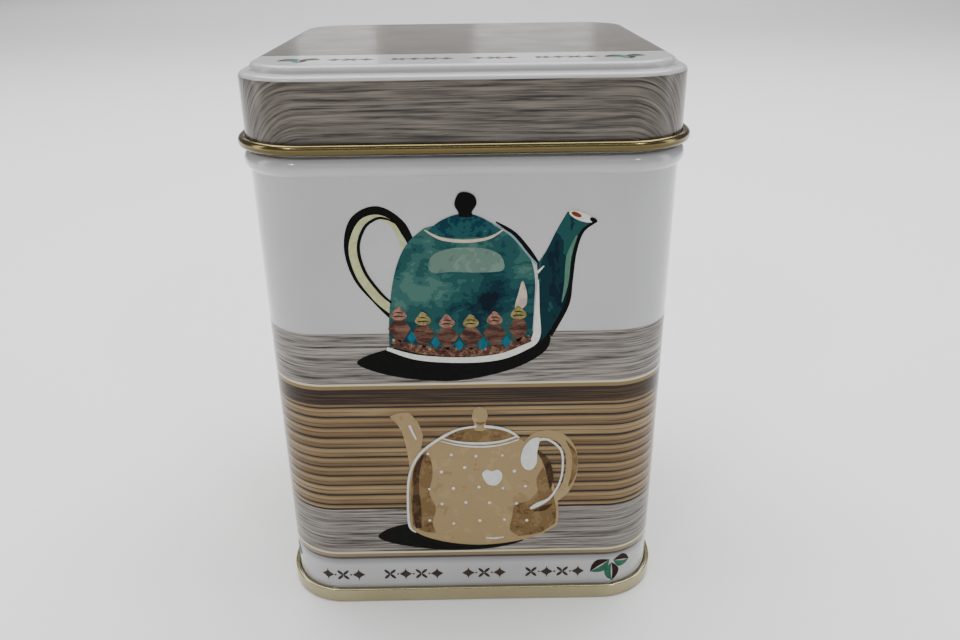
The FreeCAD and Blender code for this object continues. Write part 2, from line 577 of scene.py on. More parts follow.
def shader_group(name, inputs, outputs, write):
    """Node group made once: `write` gets its wiring and input sockets, and returns its outputs."""
    group = bpy.data.node_groups.get(name)
    if group:
        return group
    group = bpy.data.node_groups.new(name, "ShaderNodeTree")
    for label, kind, default in inputs:
        socket = group.interface.new_socket(name=label, in_out="INPUT", socket_type=kind)
        socket.default_value = default
    for label, kind in outputs:
        group.interface.new_socket(name=label, in_out="OUTPUT", socket_type=kind)
    wiring = Wiring(group)
    source = group.nodes.new("NodeGroupInput")
    results = write(wiring, source.outputs)
    sink = group.nodes.new("NodeGroupOutput")
    for socket, result in zip(sink.inputs, results):
        group.links.new(result, socket)
    return group


FLOAT, VECTOR, COLOUR = "NodeSocketFloat", "NodeSocketVector", "NodeSocketColor"
FINE_PEEL = 0.008        # orange peel of stoved enamel and ink
INK_GLEAM = 0.07         # matt inks mirror little


def grain_group():
    """Streaks of printed timber or reed: long along the grain and fine across it."""
    def write(w, given):
        x = w.over(given["Along"], given["Length"])
        y = w.over(given["Across"], given["Width"])

        def soft(along, across, detail):
            """Noise stretched along and across the grain."""
            return w.noise(w.vector(w.times(x, along), w.times(y, across), given["Seed"]), 1.0, detail)

        wave = soft(0.35, 0.12, 2.0)
        y = w.plus(y, w.times(wave, given["Waviness"]))
        fine = w.noise(w.vector(x, y, given["Seed"]), 1.0, 4.0, 0.62)
        broad = soft(0.3, 0.22, 2.0)
        bend = soft(0.22, 0.06, 1.0)
        turn = w.plus(w.times(y, 0.42), w.times(bend, 9.0))
        ring = w.spread(w.maths("SINE", w.times(turn, 2 * math.pi)), -1.0, 1.0)
        streak = w.plus(w.times(w.spread(fine, 0.37, 0.63), 0.7), w.times(ring, 0.3))
        return streak, w.spread(broad, 0.3, 0.7)

    inputs = [("Along", FLOAT, 0.0), ("Across", FLOAT, 0.0), ("Length", FLOAT, 0.008),
              ("Width", FLOAT, 0.0005), ("Waviness", FLOAT, 2.0), ("Seed", FLOAT, 0.0)]
    return shader_group("Printed Grain", inputs, [("Streak", FLOAT), ("Broad", FLOAT)], write)


def timber_group():
    """Grey weathered timber, as printed on the shelves and the lid."""
    def write(w, given):
        passed = {key: given[key] for key in ("Along", "Across", "Seed", "Waviness", "Width")}
        streak, broad = w.group(grain_group(), Length=0.017, **passed)
        base = w.mix(streak, given["Dark"], given["Light"])
        shaded = w.mix(w.times(broad, 0.26), base, given["Dark"])
        fine = w.times(given["Width"], 0.36)
        flecks = w.noise(w.vector(w.over(given["Along"], 0.009),
                                  w.over(given["Across"], fine), given["Seed"]), 1.0, 2.0)
        pale = w.mix(w.times(w.above(flecks, 0.6, 0.05), 0.55), shaded, given["Light"])
        cracks = w.minus(1.0, w.above(flecks, 0.36, 0.03))
        return [w.mix(w.times(cracks, 0.6), pale, w.mix(0.5, given["Dark"], (0.0, 0.0, 0.0)))]

    inputs = [("Along", FLOAT, 0.0), ("Across", FLOAT, 0.0), ("Seed", FLOAT, 0.0),
              ("Waviness", FLOAT, 2.0), ("Width", FLOAT, 0.0006), ("Light", COLOUR, (1, 1, 1, 1)),
              ("Dark", COLOUR, (0, 0, 0, 1))]
    return shader_group("Grey Timber", inputs, [("Color", COLOUR)], write)


def reeds_group():
    """Split reeds side by side, each with its own tone, a lit upper edge and a dark gap."""
    def write(w, given):
        along, across, pitch = given["Along"], given["Across"], given["Pitch"]
        drift = w.noise(w.vector(w.times(along, 6.5), w.times(across, 70.0)), 1.0, 0.0)
        rise = w.times(w.minus(drift, 0.5), 0.0017)
        turn = w.over(w.plus(across, rise), pitch)
        number = w.maths("FLOOR", turn)
        part = w.maths("FRACT", turn)
        luck = w.add("TexWhiteNoise", {"W": number}, noise_dimensions="1D").outputs["Value"]
        grain = w.group(grain_group(), Along=along, Across=across, Length=0.012, Width=0.00022,
                        Waviness=1.2, Seed=w.times(number, 3.7))
        shift = w.noise(w.vector(w.times(along, 34.0), w.times(number, 5.3)), 1.0, 2.0)
        reed = w.mix(w.spread(shift, 0.34, 0.66, 0.1, 0.9), given["Mid"], given["Light"])
        umber = w.mix(0.25, given["Mid"], given["Dark"])
        reed = w.mix(w.times(luck, 0.6), reed, umber)
        streak = w.spread(grain["Streak"], 0.2, 0.8)
        reed = w.mix(w.times(streak, 0.5), reed, umber)
        reed = w.mix(w.spread(part, 0.36, 0.1, 0.0, 0.5), reed, given["Dark"])
        reed = w.mix(w.spread(part, 0.9, 1.0, 0.0, 0.4), reed, given["Dark"])
        lit = w.between(part, 0.64, 0.86, 0.08)
        reed = w.mix(w.times(lit, 0.45), reed, given["Light"])
        rough = w.noise(w.vector(w.times(along, 36.0), number), 1.0, 3.0)
        place = w.plus(part, w.times(luck, 0.2))
        split = w.times(w.between(place, 0.56, 0.63, 0.02), w.spread(rough, 0.36, 0.6, 0.15, 0.85))
        reed = w.mix(split, reed, given["Dark"])
        width = w.times(w.spread(rough, 0.32, 0.68, 0.1, 0.17), w.spread(luck, 0.0, 1.0, 1.3, 0.8))
        gap = w.maths("LESS_THAN", part, width)
        return [w.mix(w.times(gap, 0.95), reed, given["Dark"])]

    inputs = [("Along", FLOAT, 0.0), ("Across", FLOAT, 0.0), ("Pitch", FLOAT, 0.0023),
              ("Light", COLOUR, (1, 1, 1, 1)), ("Mid", COLOUR, (0.5, 0.5, 0.5, 1)),
              ("Dark", COLOUR, (0, 0, 0, 1))]
    return shader_group("Printed Reeds", inputs, [("Color", COLOUR)], write)


def sheet_group():
    """Surface of pressed tinplate: long waves in the flats, fine orange peel, and rubbed spots."""
    def write(w, given):
        spot = w.place()
        waves = w.noise(spot, 26.0, 1.0)
        peel = w.noise(spot, 1500.0, 2.0)
        rub = w.noise(spot, 90.0, 5.0, 0.65)
        height = w.plus(w.times(waves, given["Waves"]), w.times(peel, given["Peel"]))
        return height, w.plus(given["Roughness"], w.times(w.minus(rub, 0.5), 0.16))

    inputs = [("Waves", FLOAT, 1.0), ("Peel", FLOAT, 0.02), ("Roughness", FLOAT, 0.25)]
    return shader_group("Pressed Sheet", inputs, [("Height", FLOAT), ("Roughness", FLOAT)], write)


def patches_group():
    """Blotches of flat tone like a posterised painting, from 0 to 1."""
    def write(w, given):
        spot = given["Vector"]
        broad = w.noise(spot, given["Scale"], 3.0, 0.6, 0.6)
        fine = w.noise(spot, w.times(given["Scale"], 3.6), 3.0, 0.6, 0.4)
        value = w.plus(w.times(broad, 0.72), w.times(fine, 0.28))
        return [w.spread(value, 0.3, 0.7)]

    inputs = [("Vector", VECTOR, (0, 0, 0)), ("Scale", FLOAT, 250.0)]
    return shader_group("Painted Patches", inputs, [("Value", FLOAT)], write)


def finish(w, colour_socket, gloss, coat=0.0, metal=0.0, waves=1.0, peel=FINE_PEEL, bump=0.1, gleam=0.5):
    """Shader of a sheet with a colour over it, lacquer and the small unevenness of pressed metal."""
    sheet = w.group(sheet_group(), Waves=waves, Peel=peel, Roughness=gloss)
    raised = w.add("Bump", {"Strength": bump, "Distance": 0.4 * MM, "Height": sheet["Height"]})
    shader = w.add("BsdfPrincipled", {
        "Base Color": colour_socket, "Roughness": sheet["Roughness"], "Normal": raised.outputs[0],
        "Metallic": metal, "Specular IOR Level": gleam, "Coat Weight": coat, "Coat Roughness": 0.08,
    })
    w.add("OutputMaterial", {"Surface": shader.outputs[0]})
    return shader


def new_material(name):
    """Empty node material and its wiring, or None in place of the wiring if it is already made."""
    known = bpy.data.materials.get(name)
    if known:
        return known, None
    material = bpy.data.materials.new(name)
    material.use_nodes = True
    material.node_tree.nodes.clear()
    return material, Wiring(material.node_tree)


# ---------------------------------------------------------------- materials

# painted shade: dark colour mixed into the lower part of the lid's curl, standing in for the shade under it
CURL_UNDERSIDE_SHADE = (0.05, 0.034, 0.012)
LINE_BANDS = (           # a printed line's inks: millimetres below its top from and to, and softness
    ("tan_line", 1.3, 0.4, 1),
    ("cream_line", 0.45, 0.0, 1),
    ("dark_line", 1.8, 1.25, 2),
)


def gold_lacquer(name, gold, gloss, shade_below=0.0):
    """Clear gold lacquer over bright tinplate, darkened below a height by painted shade."""
    material, w = new_material(name)
    if w:
        spot = w.place()
        cloud = w.noise(spot, 110.0, 4.0, 0.6)
        brush = w.noise(spot, 900.0, 2.0)
        dull = [0.62 * part for part in gold]
        bright = [1.25 * part for part in gold]
        body = w.mix(w.spread(cloud, 0.3, 0.7, 0.0, 0.45), gold, dull)
        body = w.mix(w.spread(brush, 0.35, 0.65, 0.0, 0.1), body, bright)
        # painted shade: below the given height the lacquer is mixed towards a dark colour, in place of the
        # shade there
        if shade_below:
            height = w.plus(w.split(spot)[2], w.times(w.minus(cloud, 0.5), 0.4 * MM))
            painted_shade = w.spread(height, shade_below - 0.25 * MM, shade_below + 0.15 * MM, 0.72, 0.0)
            body = w.mix(painted_shade, body, CURL_UNDERSIDE_SHADE)
        finish(w, body, gloss, 0.1, metal=1.0, waves=0.6, peel=0.012, bump=0.08)
    return material


def inside_lacquer():
    """Duller lacquer inside the tin and the lid."""
    return gold_lacquer("inside_lacquer", bpy.context.scene.caddy_colours.pale_gold, 0.34)


def enamel_tint(w, enamel):
    """White enamel with the faint unevenness of a stoved coat."""
    cloud = w.noise(w.place(), 45.0, 3.0)
    return w.mix(w.spread(cloud, 0.35, 0.65), enamel, [0.93 * part for part in enamel])


def timber_print(w, along, across, light, dark, seed, waviness=2.0, width=0.44 * MM):
    """Printed grey timber, with its grain along the first direction."""
    return w.group(timber_group(), Along=along, Across=across, Seed=seed, Waviness=waviness,
                   Width=width, Light=light, Dark=dark)[0]


def reeds_print(w, along, across):
    """Printed reeds, which lie along the first direction."""
    scene = bpy.context.scene
    colours = scene.caddy_colours
    return w.group(reeds_group(), Along=along, Across=across, Pitch=scene.caddy_layout.reed_pitch,
                   Light=colours.reed_light, Mid=colours.reed_mid, Dark=colours.reed_dark)[0]


def plank_print(w, along, across):
    """Dark plank with fine lighter streaks."""
    colours = bpy.context.scene.caddy_colours
    grain = w.group(grain_group(), Along=along, Across=across, Length=0.02, Width=0.0003,
                    Waviness=0.5, Seed=4.0)
    lit = w.times(w.maths("POWER", grain["Streak"], 2.0), 0.68)
    return w.mix(lit, colours.plank, colours.reed_mid)


def wall_print():
    """Everything printed on the wrapped wall except the pictures: timber, reeds, lines, enamel."""
    material, w = new_material("wall_print")
    if not w:
        return material
    layout = bpy.context.scene.caddy_layout
    colours = bpy.context.scene.caddy_colours
    crisp = 0.04 * MM
    u, z, _ = w.split(w.wrap())
    low_line, high_line = layout.low_line, layout.high_line
    reeds_low, reeds_high = layout.reeds_low, layout.reeds_high
    ink = enamel_tint(w, colours.enamel)
    shade = w.spread(z, low_line - 3.6 * MM, low_line - 1.8 * MM, 0.0, 0.62)
    ink = w.mix(w.times(shade, w.maths("LESS_THAN", z, low_line)), ink, colours.timber_dark)
    timber = timber_print(w, u, z, colours.timber_light, colours.timber_dark, 2.0)
    ink = w.mix(w.between(z, low_line, layout.timber_high, crisp), ink, timber)
    ink = w.mix(w.between(z, reeds_low, reeds_high, crisp), ink, reeds_print(w, u, z))
    plank = plank_print(w, u, z)
    ink = w.mix(w.between(z, reeds_high, high_line - 1.25 * MM, crisp), ink, plank)
    for top in (high_line, low_line):
        for band, low, high, soft in LINE_BANDS:
            strip = w.between(z, top - low * MM, top - high * MM, soft * crisp)
            ink = w.mix(strip, ink, getattr(colours, band))
    seam = w.between(z, reeds_low - 0.15 * MM, reeds_low + 0.3 * MM, crisp)
    ink = w.mix(seam, ink, colours.reed_dark)
    shader = finish(w, ink, 0.17, gleam=0.22)
    bare = w.minus(1.0, w.between(z, low_line - 0.5 * MM, layout.timber_high, crisp))
    w.feed(shader.inputs["Coat Weight"], w.times(bare, 0.8))
    return material


def lid_print():
    """Print of the lid, laid out on the flat blank before it was drawn, so its grain bends at corners."""
    material, w = new_material("lid_print")
    if not w:
        return material
    layout = bpy.context.scene.caddy_layout
    colours = bpy.context.scene.caddy_colours
    crisp = 0.05 * MM
    x, y, _ = w.split(w.wrap())
    top = w.above(w.split(w.place())[2], layout.lid_timber, 0.1 * MM)
    front = -layout.strip_depth
    ink = timber_print(w, x, y, colours.lid_light, colours.lid_dark, 5.0, 3.0, 0.52 * MM)
    strip = w.times(w.minus(1.0, w.above(y, front, crisp)), top)
    ink = w.mix(strip, ink, enamel_tint(w, colours.enamel))
    line = w.between(y, front, front + 0.45 * MM, crisp)
    ink = w.mix(w.times(line, top), ink, colours.dark_line)
    shader = finish(w, ink, 0.19, gleam=0.42)
    w.feed(shader.inputs["Coat Weight"], w.times(strip, 0.2))
    return material


def plain_enamel():
    """White enamel under the lid."""
    material, w = new_material("neck_enamel")
    if w:
        finish(w, enamel_tint(w, bpy.context.scene.caddy_colours.enamel), 0.16, 0.2)
    return material


def flat_ink(name, screen, second, scale=900.0, amount=0.5):
    """One printing ink with a fine mottle of a second tone."""
    material, w = new_material(name)
    if w:
        mottle = w.noise(w.place(), scale, 3.0, 0.6)
        ink = w.mix(w.spread(mottle, 0.42, 0.6, 0.0, amount), tone(*screen), tone(*second))
        finish(w, ink, 0.3, gleam=INK_GLEAM)
    return material


def glaze_ink(name, tones, scale, lean=(0.0, 0.0), start=0.0, stretch=1.0, pools=()):
    """Patches of several tones, leaning to the later ones across and up the picture, and in pools.

    A pool is its place and reach in millimetres, and how far it leans to the later tones."""
    material, w = new_material(name)
    if w:
        spot = w.wrap()
        u, z, _ = w.split(spot)
        patches = w.group(patches_group(), Vector=w.vector(u, w.times(z, stretch)), Scale=scale)
        slope = w.plus(w.times(u, lean[0]), w.times(z, lean[1]))
        value = w.plus(patches["Value"], w.plus(slope, start))
        for across, up, reach, amount in pools:
            ends = {0: spot, 1: (across * MM, up * MM, 0.0)}
            away = w.add("VectorMath", ends, operation="DISTANCE").outputs["Value"]
            value = w.plus(value, w.spread(away, 0.0, reach * MM, amount, 0.0))
        value = w.maths("MAXIMUM", w.maths("MINIMUM", value, 1.0), 0.0)
        stops = [(place, tone(*screen)) for place, screen in tones]
        finish(w, w.steps(value, stops), 0.24, gleam=INK_GLEAM)
    return material


# ---------------------------------------------------------------- tin body

BEAD_GAP = 0.4 * MM      # stop bead to the seated lid
SEAM_END = 2.0 * MM      # lock seam's ends to the base panel and the bead
GROOVE_STEPS = (0.12 * MM, 0.3 * MM, 0.5 * MM)      # marks to each side of the groove's middle
GROOVE_DEPTH = 0.14 * MM
GROOVE_SHOULDER = 0.05 * MM
GROOVE_TOP = 5.0 * MM    # groove's end to the seated lid
FOLD_SOFT = 0.2 * MM     # bevel of the folded seam's edges
CREASE = 1.0 * MM        # line where the two hooks of the lock seam meet, from the fold's edge
CREASE_HALF = 0.1 * MM
CREASE_DEPTH = 0.12 * MM


def body_runs(s, plan, marks):
    """Section of the body wall from its hook in the base seam to the hemmed rim, as in the frame."""
    wall = plan.half
    inside = wall - s.sheet
    neck = LID_BOX[1][0] - s.curl_proud - s.sheet - s.neck_clearance
    rim = BODY_BOX[1][2]
    foot = BODY_BOX[0][2]
    hook = wall + s.seam_gap + s.sheet + s.seam_gap
    hook_top = s.seam_height - s.sheet - s.hook_gap
    bead_top = LID_BOX[0][2] - BEAD_GAP
    bead_low = bead_top - s.bead_height
    middle = (bead_low + bead_top) / 2
    turn = rim - s.sheet
    neck_in = neck - s.sheet
    hem_in = neck_in - s.sheet
    start = marks[0]
    halfway = len(marks) // 2
    scale = 2 * MAP_WIDTH / (FACES * plan.face)

    def wall_bake(j, travel, reach):
        row = 0 if j < halfway else 1
        along = travel - marks[halfway if row else 0]
        return MAP_EDGE + along * scale, MAP_EDGE + row * WALL_ROW + reach * scale * 0.5

    def small_bake(level, shrink):
        def bake(j, travel, reach):
            return MAP_EDGE + (travel - start) * scale * 0.5, level + reach * scale * shrink
        return bake

    outside = [(wall, foot + s.sheet), (wall, s.seam_height)]
    count = 24
    for i in range(1, count + 1):
        outside.append((wall, s.seam_height + (bead_low - s.seam_height) * i / count))
    outside += bow((wall, bead_low), (wall + s.bead_proud, middle), (neck, bead_top), 14)[1:]
    neck_run = [(neck, bead_top), (neck, turn)]
    neck_run += points_on_arc((neck_in, turn), s.sheet, 0, 180, 8)[1:]
    neck_run += [(hem_in, rim - s.hem), (neck_in, rim - s.hem)]
    inner = [(neck_in, rim - s.hem), (neck_in, bead_top)]
    inner += bow((neck_in, bead_top), (inside + s.bead_proud, middle), (inside, bead_low), 12)[1:]
    inner += [(inside, bead_low + (foot - bead_low) * i / 8) for i in range(1, 9)]
    hooks = [(inside, foot), (hook + s.sheet, foot), (hook + s.sheet, hook_top), (hook, hook_top),
             (hook, foot + s.sheet), (wall, foot + s.sheet)]
    return [
        Run(outside, 0, wall_bake),
        Run(neck_run, 1, small_bake(0.70, 0.5)),
        Run(inner, 2, small_bake(0.76, 0.28)),
        Run(hooks, 2, small_bake(0.97, 0.25)),
    ]


def lock_edges(sizes, plan):
    """Both edges of the lock seam, from the middle of the back."""
    right = plan.straight - sizes.lock_margin
    return right - sizes.lock_width, right


def build_body():
    """Wrapped shell, with the shallow outside groove of its lock seam."""
    sizes, plan = shapes()
    start = -2 * plan.face - sum(lock_edges(sizes, plan)) / 2
    end = start + FACES * plan.face
    marks = plan.marks(start)
    for step in GROOVE_STEPS:
        marks += [start + step, end - step]
    marks.sort()
    low = sizes.seam_height - 0.1 * MM
    high = LID_BOX[0][2] - GROOVE_TOP
    near = 0.01 * MM

    def groove(travel, height):
        """How far the wall is dipped at a place, over the lock seam's join."""
        away = min(travel - start, end - travel)
        if away > GROOVE_STEPS[1] + near or not low < height < high:
            return 0.0
        return GROOVE_DEPTH if away < GROOVE_STEPS[0] + near else GROOVE_SHOULDER

    skin = Skin()
    carry_round(skin, plan, body_runs(sizes, plan, marks), marks, groove)
    skin.build("tin_body", [wall_print(), plain_enamel(), inside_lacquer()], TIN,
               replaces="body_shell")


def build_lock_seam():
    """Folded layers of the lock seam, up the inside of the back."""
    sizes, plan = shapes()
    skin = Skin()
    inside = plan.half - sizes.sheet
    face = inside - 2 * sizes.sheet
    low = sizes.panel_recess + sizes.panel_step + sizes.sheet + SEAM_END
    high = LID_BOX[0][2] - BEAD_GAP - sizes.bead_height - SEAM_END
    left, right = lock_edges(sizes, plan)
    crease = right - CREASE
    profile = [(left, inside), (left, face + FOLD_SOFT), (left + FOLD_SOFT, face),
               (crease - CREASE_HALF, face), (crease, face + CREASE_DEPTH), (crease + CREASE_HALF, face),
               (right - FOLD_SOFT, face), (right, face + FOLD_SOFT), (right, inside)]
    count = 16
    heights = [low + (high - low) * i / count for i in range(count + 1)]
    rows = [skin.add([Vector((x, y, z)) for x, y in profile]) for z in heights]
    size = len(profile)
    for a, b in zip(rows, rows[1:]):
        for i in range(size):
            k = (i + 1) % size
            skin.face([a + i, a + k, b + k, b + i])
    skin.face([rows[0] + i for i in range(size)])
    skin.face([rows[-1] + i for i in reversed(range(size))])
    skin.build("lock_seam_fold", [inside_lacquer()], TIN, crease=30)


# ---------------------------------------------------------------- tin base

OUTER_MAP = ((MAP_EDGE, MAP_EDGE), 0.73)       # corner and size of a square of the bake map
INNER_MAP = ((0.75, 0.75), 0.24)


def blank_bake(square, reach_limit, plan, start_reach):
    """Bake places for a run laid out like a flat blank, with its middle at the square's middle."""
    corner, size = square
    half = plan.straight + reach_limit

    def flat(x, y):
        return corner[0] + size * (0.5 + 0.5 * x / half), corner[1] + size * (0.5 + 0.5 * y / half)

    def bake(j, travel, reach):
        anchor, outward = plan.at(travel)
        spot = anchor + outward * (start_reach + reach)
        return flat(spot.x, spot.y)

    return flat, bake


def path_length(points):
    """Length along a section."""
    return sum(math.dist(a, b) for a, b in zip(points, points[1:]))


def base_sections(s, plan):
    """Outer and inner faces of the base end, each from its flat middle outwards."""
    wall = plan.half
    inside = wall - s.sheet
    chuck = inside - s.sheet
    step = chuck - s.panel_margin
    centre = s.panel_recess + s.panel_step
    slope = step + s.panel_step
    outside = BASE_BOX[1][0]
    hook_in = wall + s.seam_gap
    cover_in = outside - s.sheet
    hook_low = 2 * s.sheet + s.seam_gap + s.hook_gap
    under = s.seam_height - s.sheet
    r = s.seam_round
    outer = [(step, centre), (slope, s.panel_recess), (chuck, s.panel_recess), (chuck, r)]
    outer += points_on_arc((chuck + r, r), r, 180, 270, 8)[1:]
    outer += points_on_arc((outside - r, r), r, 270, 360, 8)
    outer += points_on_arc((outside - s.sheet, under), s.sheet, 0, 90, 8)
    outer += points_on_arc((hook_in + s.sheet, under), s.sheet, 90, 180, 8)
    inner = [(step, centre + s.sheet), (slope, s.panel_recess + s.sheet), (inside, s.panel_recess + s.sheet),
             (inside, s.sheet), (cover_in, s.sheet), (cover_in, under), (hook_in + s.sheet, under),
             (hook_in + s.sheet, hook_low), (hook_in, hook_low), (hook_in, under)]
    return step, centre, outer, inner


def build_base():
    """Gold-lacquered bottom with its panel, chuck wall and the cover of the double seam."""
    sizes, plan = shapes()
    step, centre, outer, inner = base_sections(sizes, plan)
    marks = plan.marks(-2 * plan.face)
    begin = step - plan.straight
    skin = Skin()
    for points, height, square, slot in (
        (outer, centre, OUTER_MAP, 0),
        (inner, centre + sizes.sheet, INNER_MAP, 1),
    ):
        flat, bake = blank_bake(square, begin + path_length(points), plan, begin)
        carry_round(skin, plan, [Run(points, slot, bake)], marks)
        flat_middle(skin, plan, step, height, slot, flat)
    base = gold_lacquer("base_lacquer", bpy.context.scene.caddy_colours.pale_gold, 0.17)
    skin.build("base_end_gold", [base, inside_lacquer()], TIN,
               replaces="base_end")


# ---------------------------------------------------------------- lid

CROWN_MARGIN = 0.9 * MM  # lid's flat panel to the rounding at its rim
CURL_TURN = 118          # degrees round the curl's upper half to its cut edge
CURL_SHADE_HEIGHT = 1.05 * MM # painted shade on the curl's underside, up to this height from its lowest point


def lid_sections(s):
    """Outer face of the lid from its flat panel to the curl, and its inner face back again."""
    half = LID_BOX[1][0] - s.curl_proud
    skirt_in = half - s.sheet
    top = LID_BOX[1][2] - s.film
    ledge = LID_BOX[1][2] - s.panel_rise
    low = LID_BOX[0][2]
    edge = (half - s.edge_radius, ledge - s.edge_radius)
    ledge_end = edge[0] - s.ledge_width
    foot = (ledge_end, ledge + s.foot_radius)
    crown = (ledge_end - s.foot_radius - s.crown_radius, top - s.crown_radius)
    flat_half = crown[0] - CROWN_MARGIN
    radius = (LID_BOX[1][0] - skirt_in) / 2
    bore = radius - s.sheet
    low_centre = (LID_BOX[1][0] - radius, low + radius)
    high_centre = (LID_BOX[1][0] - radius, low + s.curl_height - radius)
    face = [(flat_half, top), (crown[0], top)]
    face += points_on_arc(crown, s.crown_radius, 90, 0, 10)[1:]
    face += points_on_arc(foot, s.foot_radius, 180, 270, 8)
    face += points_on_arc(edge, s.edge_radius, 90, 0, 12)
    count = 8
    bottom = low + radius
    face += [(half, edge[1] + (bottom - edge[1]) * i / count) for i in range(1, count + 1)]
    curl = points_on_arc(low_centre, bore, 180, 360, 10)
    curl += points_on_arc(high_centre, bore, 0, CURL_TURN, 8)
    curl += points_on_arc(high_centre, radius, CURL_TURN, 0, 14)
    curl += points_on_arc(low_centre, radius, 0, -180, 20)
    curl[0] = face[-1]
    inner = [(flat_half, top - s.sheet), (crown[0], top - s.sheet)]
    inner += points_on_arc(crown, s.crown_radius - s.sheet, 90, 0, 6)[1:]
    inner += points_on_arc(foot, s.foot_radius + s.sheet, 180, 270, 6)
    inner += points_on_arc(edge, s.edge_radius - s.sheet, 90, 0, 6)
    inner += [(skirt_in, edge[1] + (bottom - edge[1]) * i / 4) for i in range(1, 5)]
    return flat_half, top, face, curl, inner


def build_lid():
    """Drawn lid: printed panel, ledge and skirt, and a gold curl turned out from its inner face."""
    sizes, plan = shapes()
    flat_half, top, face, curl, inner = lid_sections(sizes)
    marks = plan.marks(-2 * plan.face)
    begin = flat_half - plan.straight
    limit = begin + path_length(face) + path_length(curl)
    flat, face_bake = blank_bake(OUTER_MAP, limit, plan, begin)
    _, curl_bake = blank_bake(OUTER_MAP, limit, plan, begin + path_length(face))
    inner_flat, inner_bake = blank_bake(INNER_MAP, begin + path_length(inner), plan, begin)
    skin = Skin()
    carry_round(skin, plan, [Run(face, 0, face_bake)], marks)
    lay_blank(skin, plan, face, marks, begin)
    carry_round(skin, plan, [Run(curl, 1, curl_bake), Run(inner, 2, inner_bake)], marks)
    flat_middle(skin, plan, flat_half, top, 0, flat)
    flat_middle(skin, plan, flat_half, top - sizes.sheet, 2, inner_flat)
    gold = bpy.context.scene.caddy_colours.gold
    # the curl's underside gets painted shade up to this height
    curl_gold = gold_lacquer("curl_lacquer", gold, 0.2, LID_BOX[0][2] + CURL_SHADE_HEIGHT)
    skin.build("lid_shell_print", [lid_print(), curl_gold, inside_lacquer()], LID,
               replaces="lid_shell")


def lay_blank(skin, plan, points, marks, begin):
    """Sets the pattern map of the run just carried round to places on the flat blank."""
    reach = [begin]
    for a, b in zip(points, points[1:]):
        reach.append(reach[-1] + math.dist(a, b))
    places = []
    for j in range(len(marks) - 1):
        for i in range(len(points) - 1):
            for a, b in ((j, i), (j + 1, i), (j + 1, i + 1), (j, i + 1)):
                anchor, outward = plan.at(marks[a])
                spot = anchor + outward * reach[b]
                places.append((spot.x, spot.y))
    skin.maps["Wrap"][-len(places):] = places


# ---------------------------------------------------------------- teal teapot

def teal_pattern():
    """Row round the teal pot's foot: lozenges, gems between them, and two kinds of bud with seeds."""
    lozenges, gems, buds, petals, seeds = [], [], [], [], []
    count = 6
    pitch = 4.5
    sag = 2.5
    for i in range(count):
        u = -12.9 + i * pitch
        z = 67.0 + sag * ((u + 1.4) / 13.6) ** 2 - sag
        last = i == count - 1
        w = 1.7 if last else 2.15
        lozenges.append(outline([(u - w, z - 0.6), (u - 1.1, z + 0.9), (u, z + 2.2)],
                                [(u, z + 2.2), (u + 1.1, z + 0.9), (u + w, z - 0.6)],
                                [(u + w, z - 0.6), (u + 1.2, z - 2.2), (u, z - 3.6)],
                                [(u, z - 3.6), (u - 1.2, z - 2.2), (u - w, z - 0.6)]))
        cup = buds if i % 2 else petals
        cup.append(smooth([(u - 1.5, z + 1.9), (u - 1.2, z + 2.7), (u - 0.8, z + 3.2), (u - 0.2, z + 3.9),
                           (u + 0.5, z + 3.6), (u + 0.9, z + 3.0), (u + 1.4, z + 2.5), (u + 1.4, z + 1.7),
                           (u + 0.4, z + 1.2), (u - 0.8, z + 1.3)], closed=True))
        seeds.append(stroke([(u - 1.1, z + 1.9), (u, z + 2.0), (u + 1.1, z + 1.85)], [0.1, 0.26, 0.1]))
        seeds.append(stroke([(u - 0.7, z + 2.7), (u + 0.1, z + 2.75), (u + 0.8, z + 2.6)], [0.1, 0.24, 0.1]))
        if not last:
            v = u + pitch / 2
            gems.append(outline([(v - 0.85, z - 2.5), (v, z - 1.1)], [(v, z - 1.1), (v + 0.85, z - 2.5)],
                                [(v + 0.85, z - 2.5), (v, z - 3.9)], [(v, z - 3.9), (v - 0.85, z - 2.5)]))
    return lozenges, gems, buds, petals, seeds


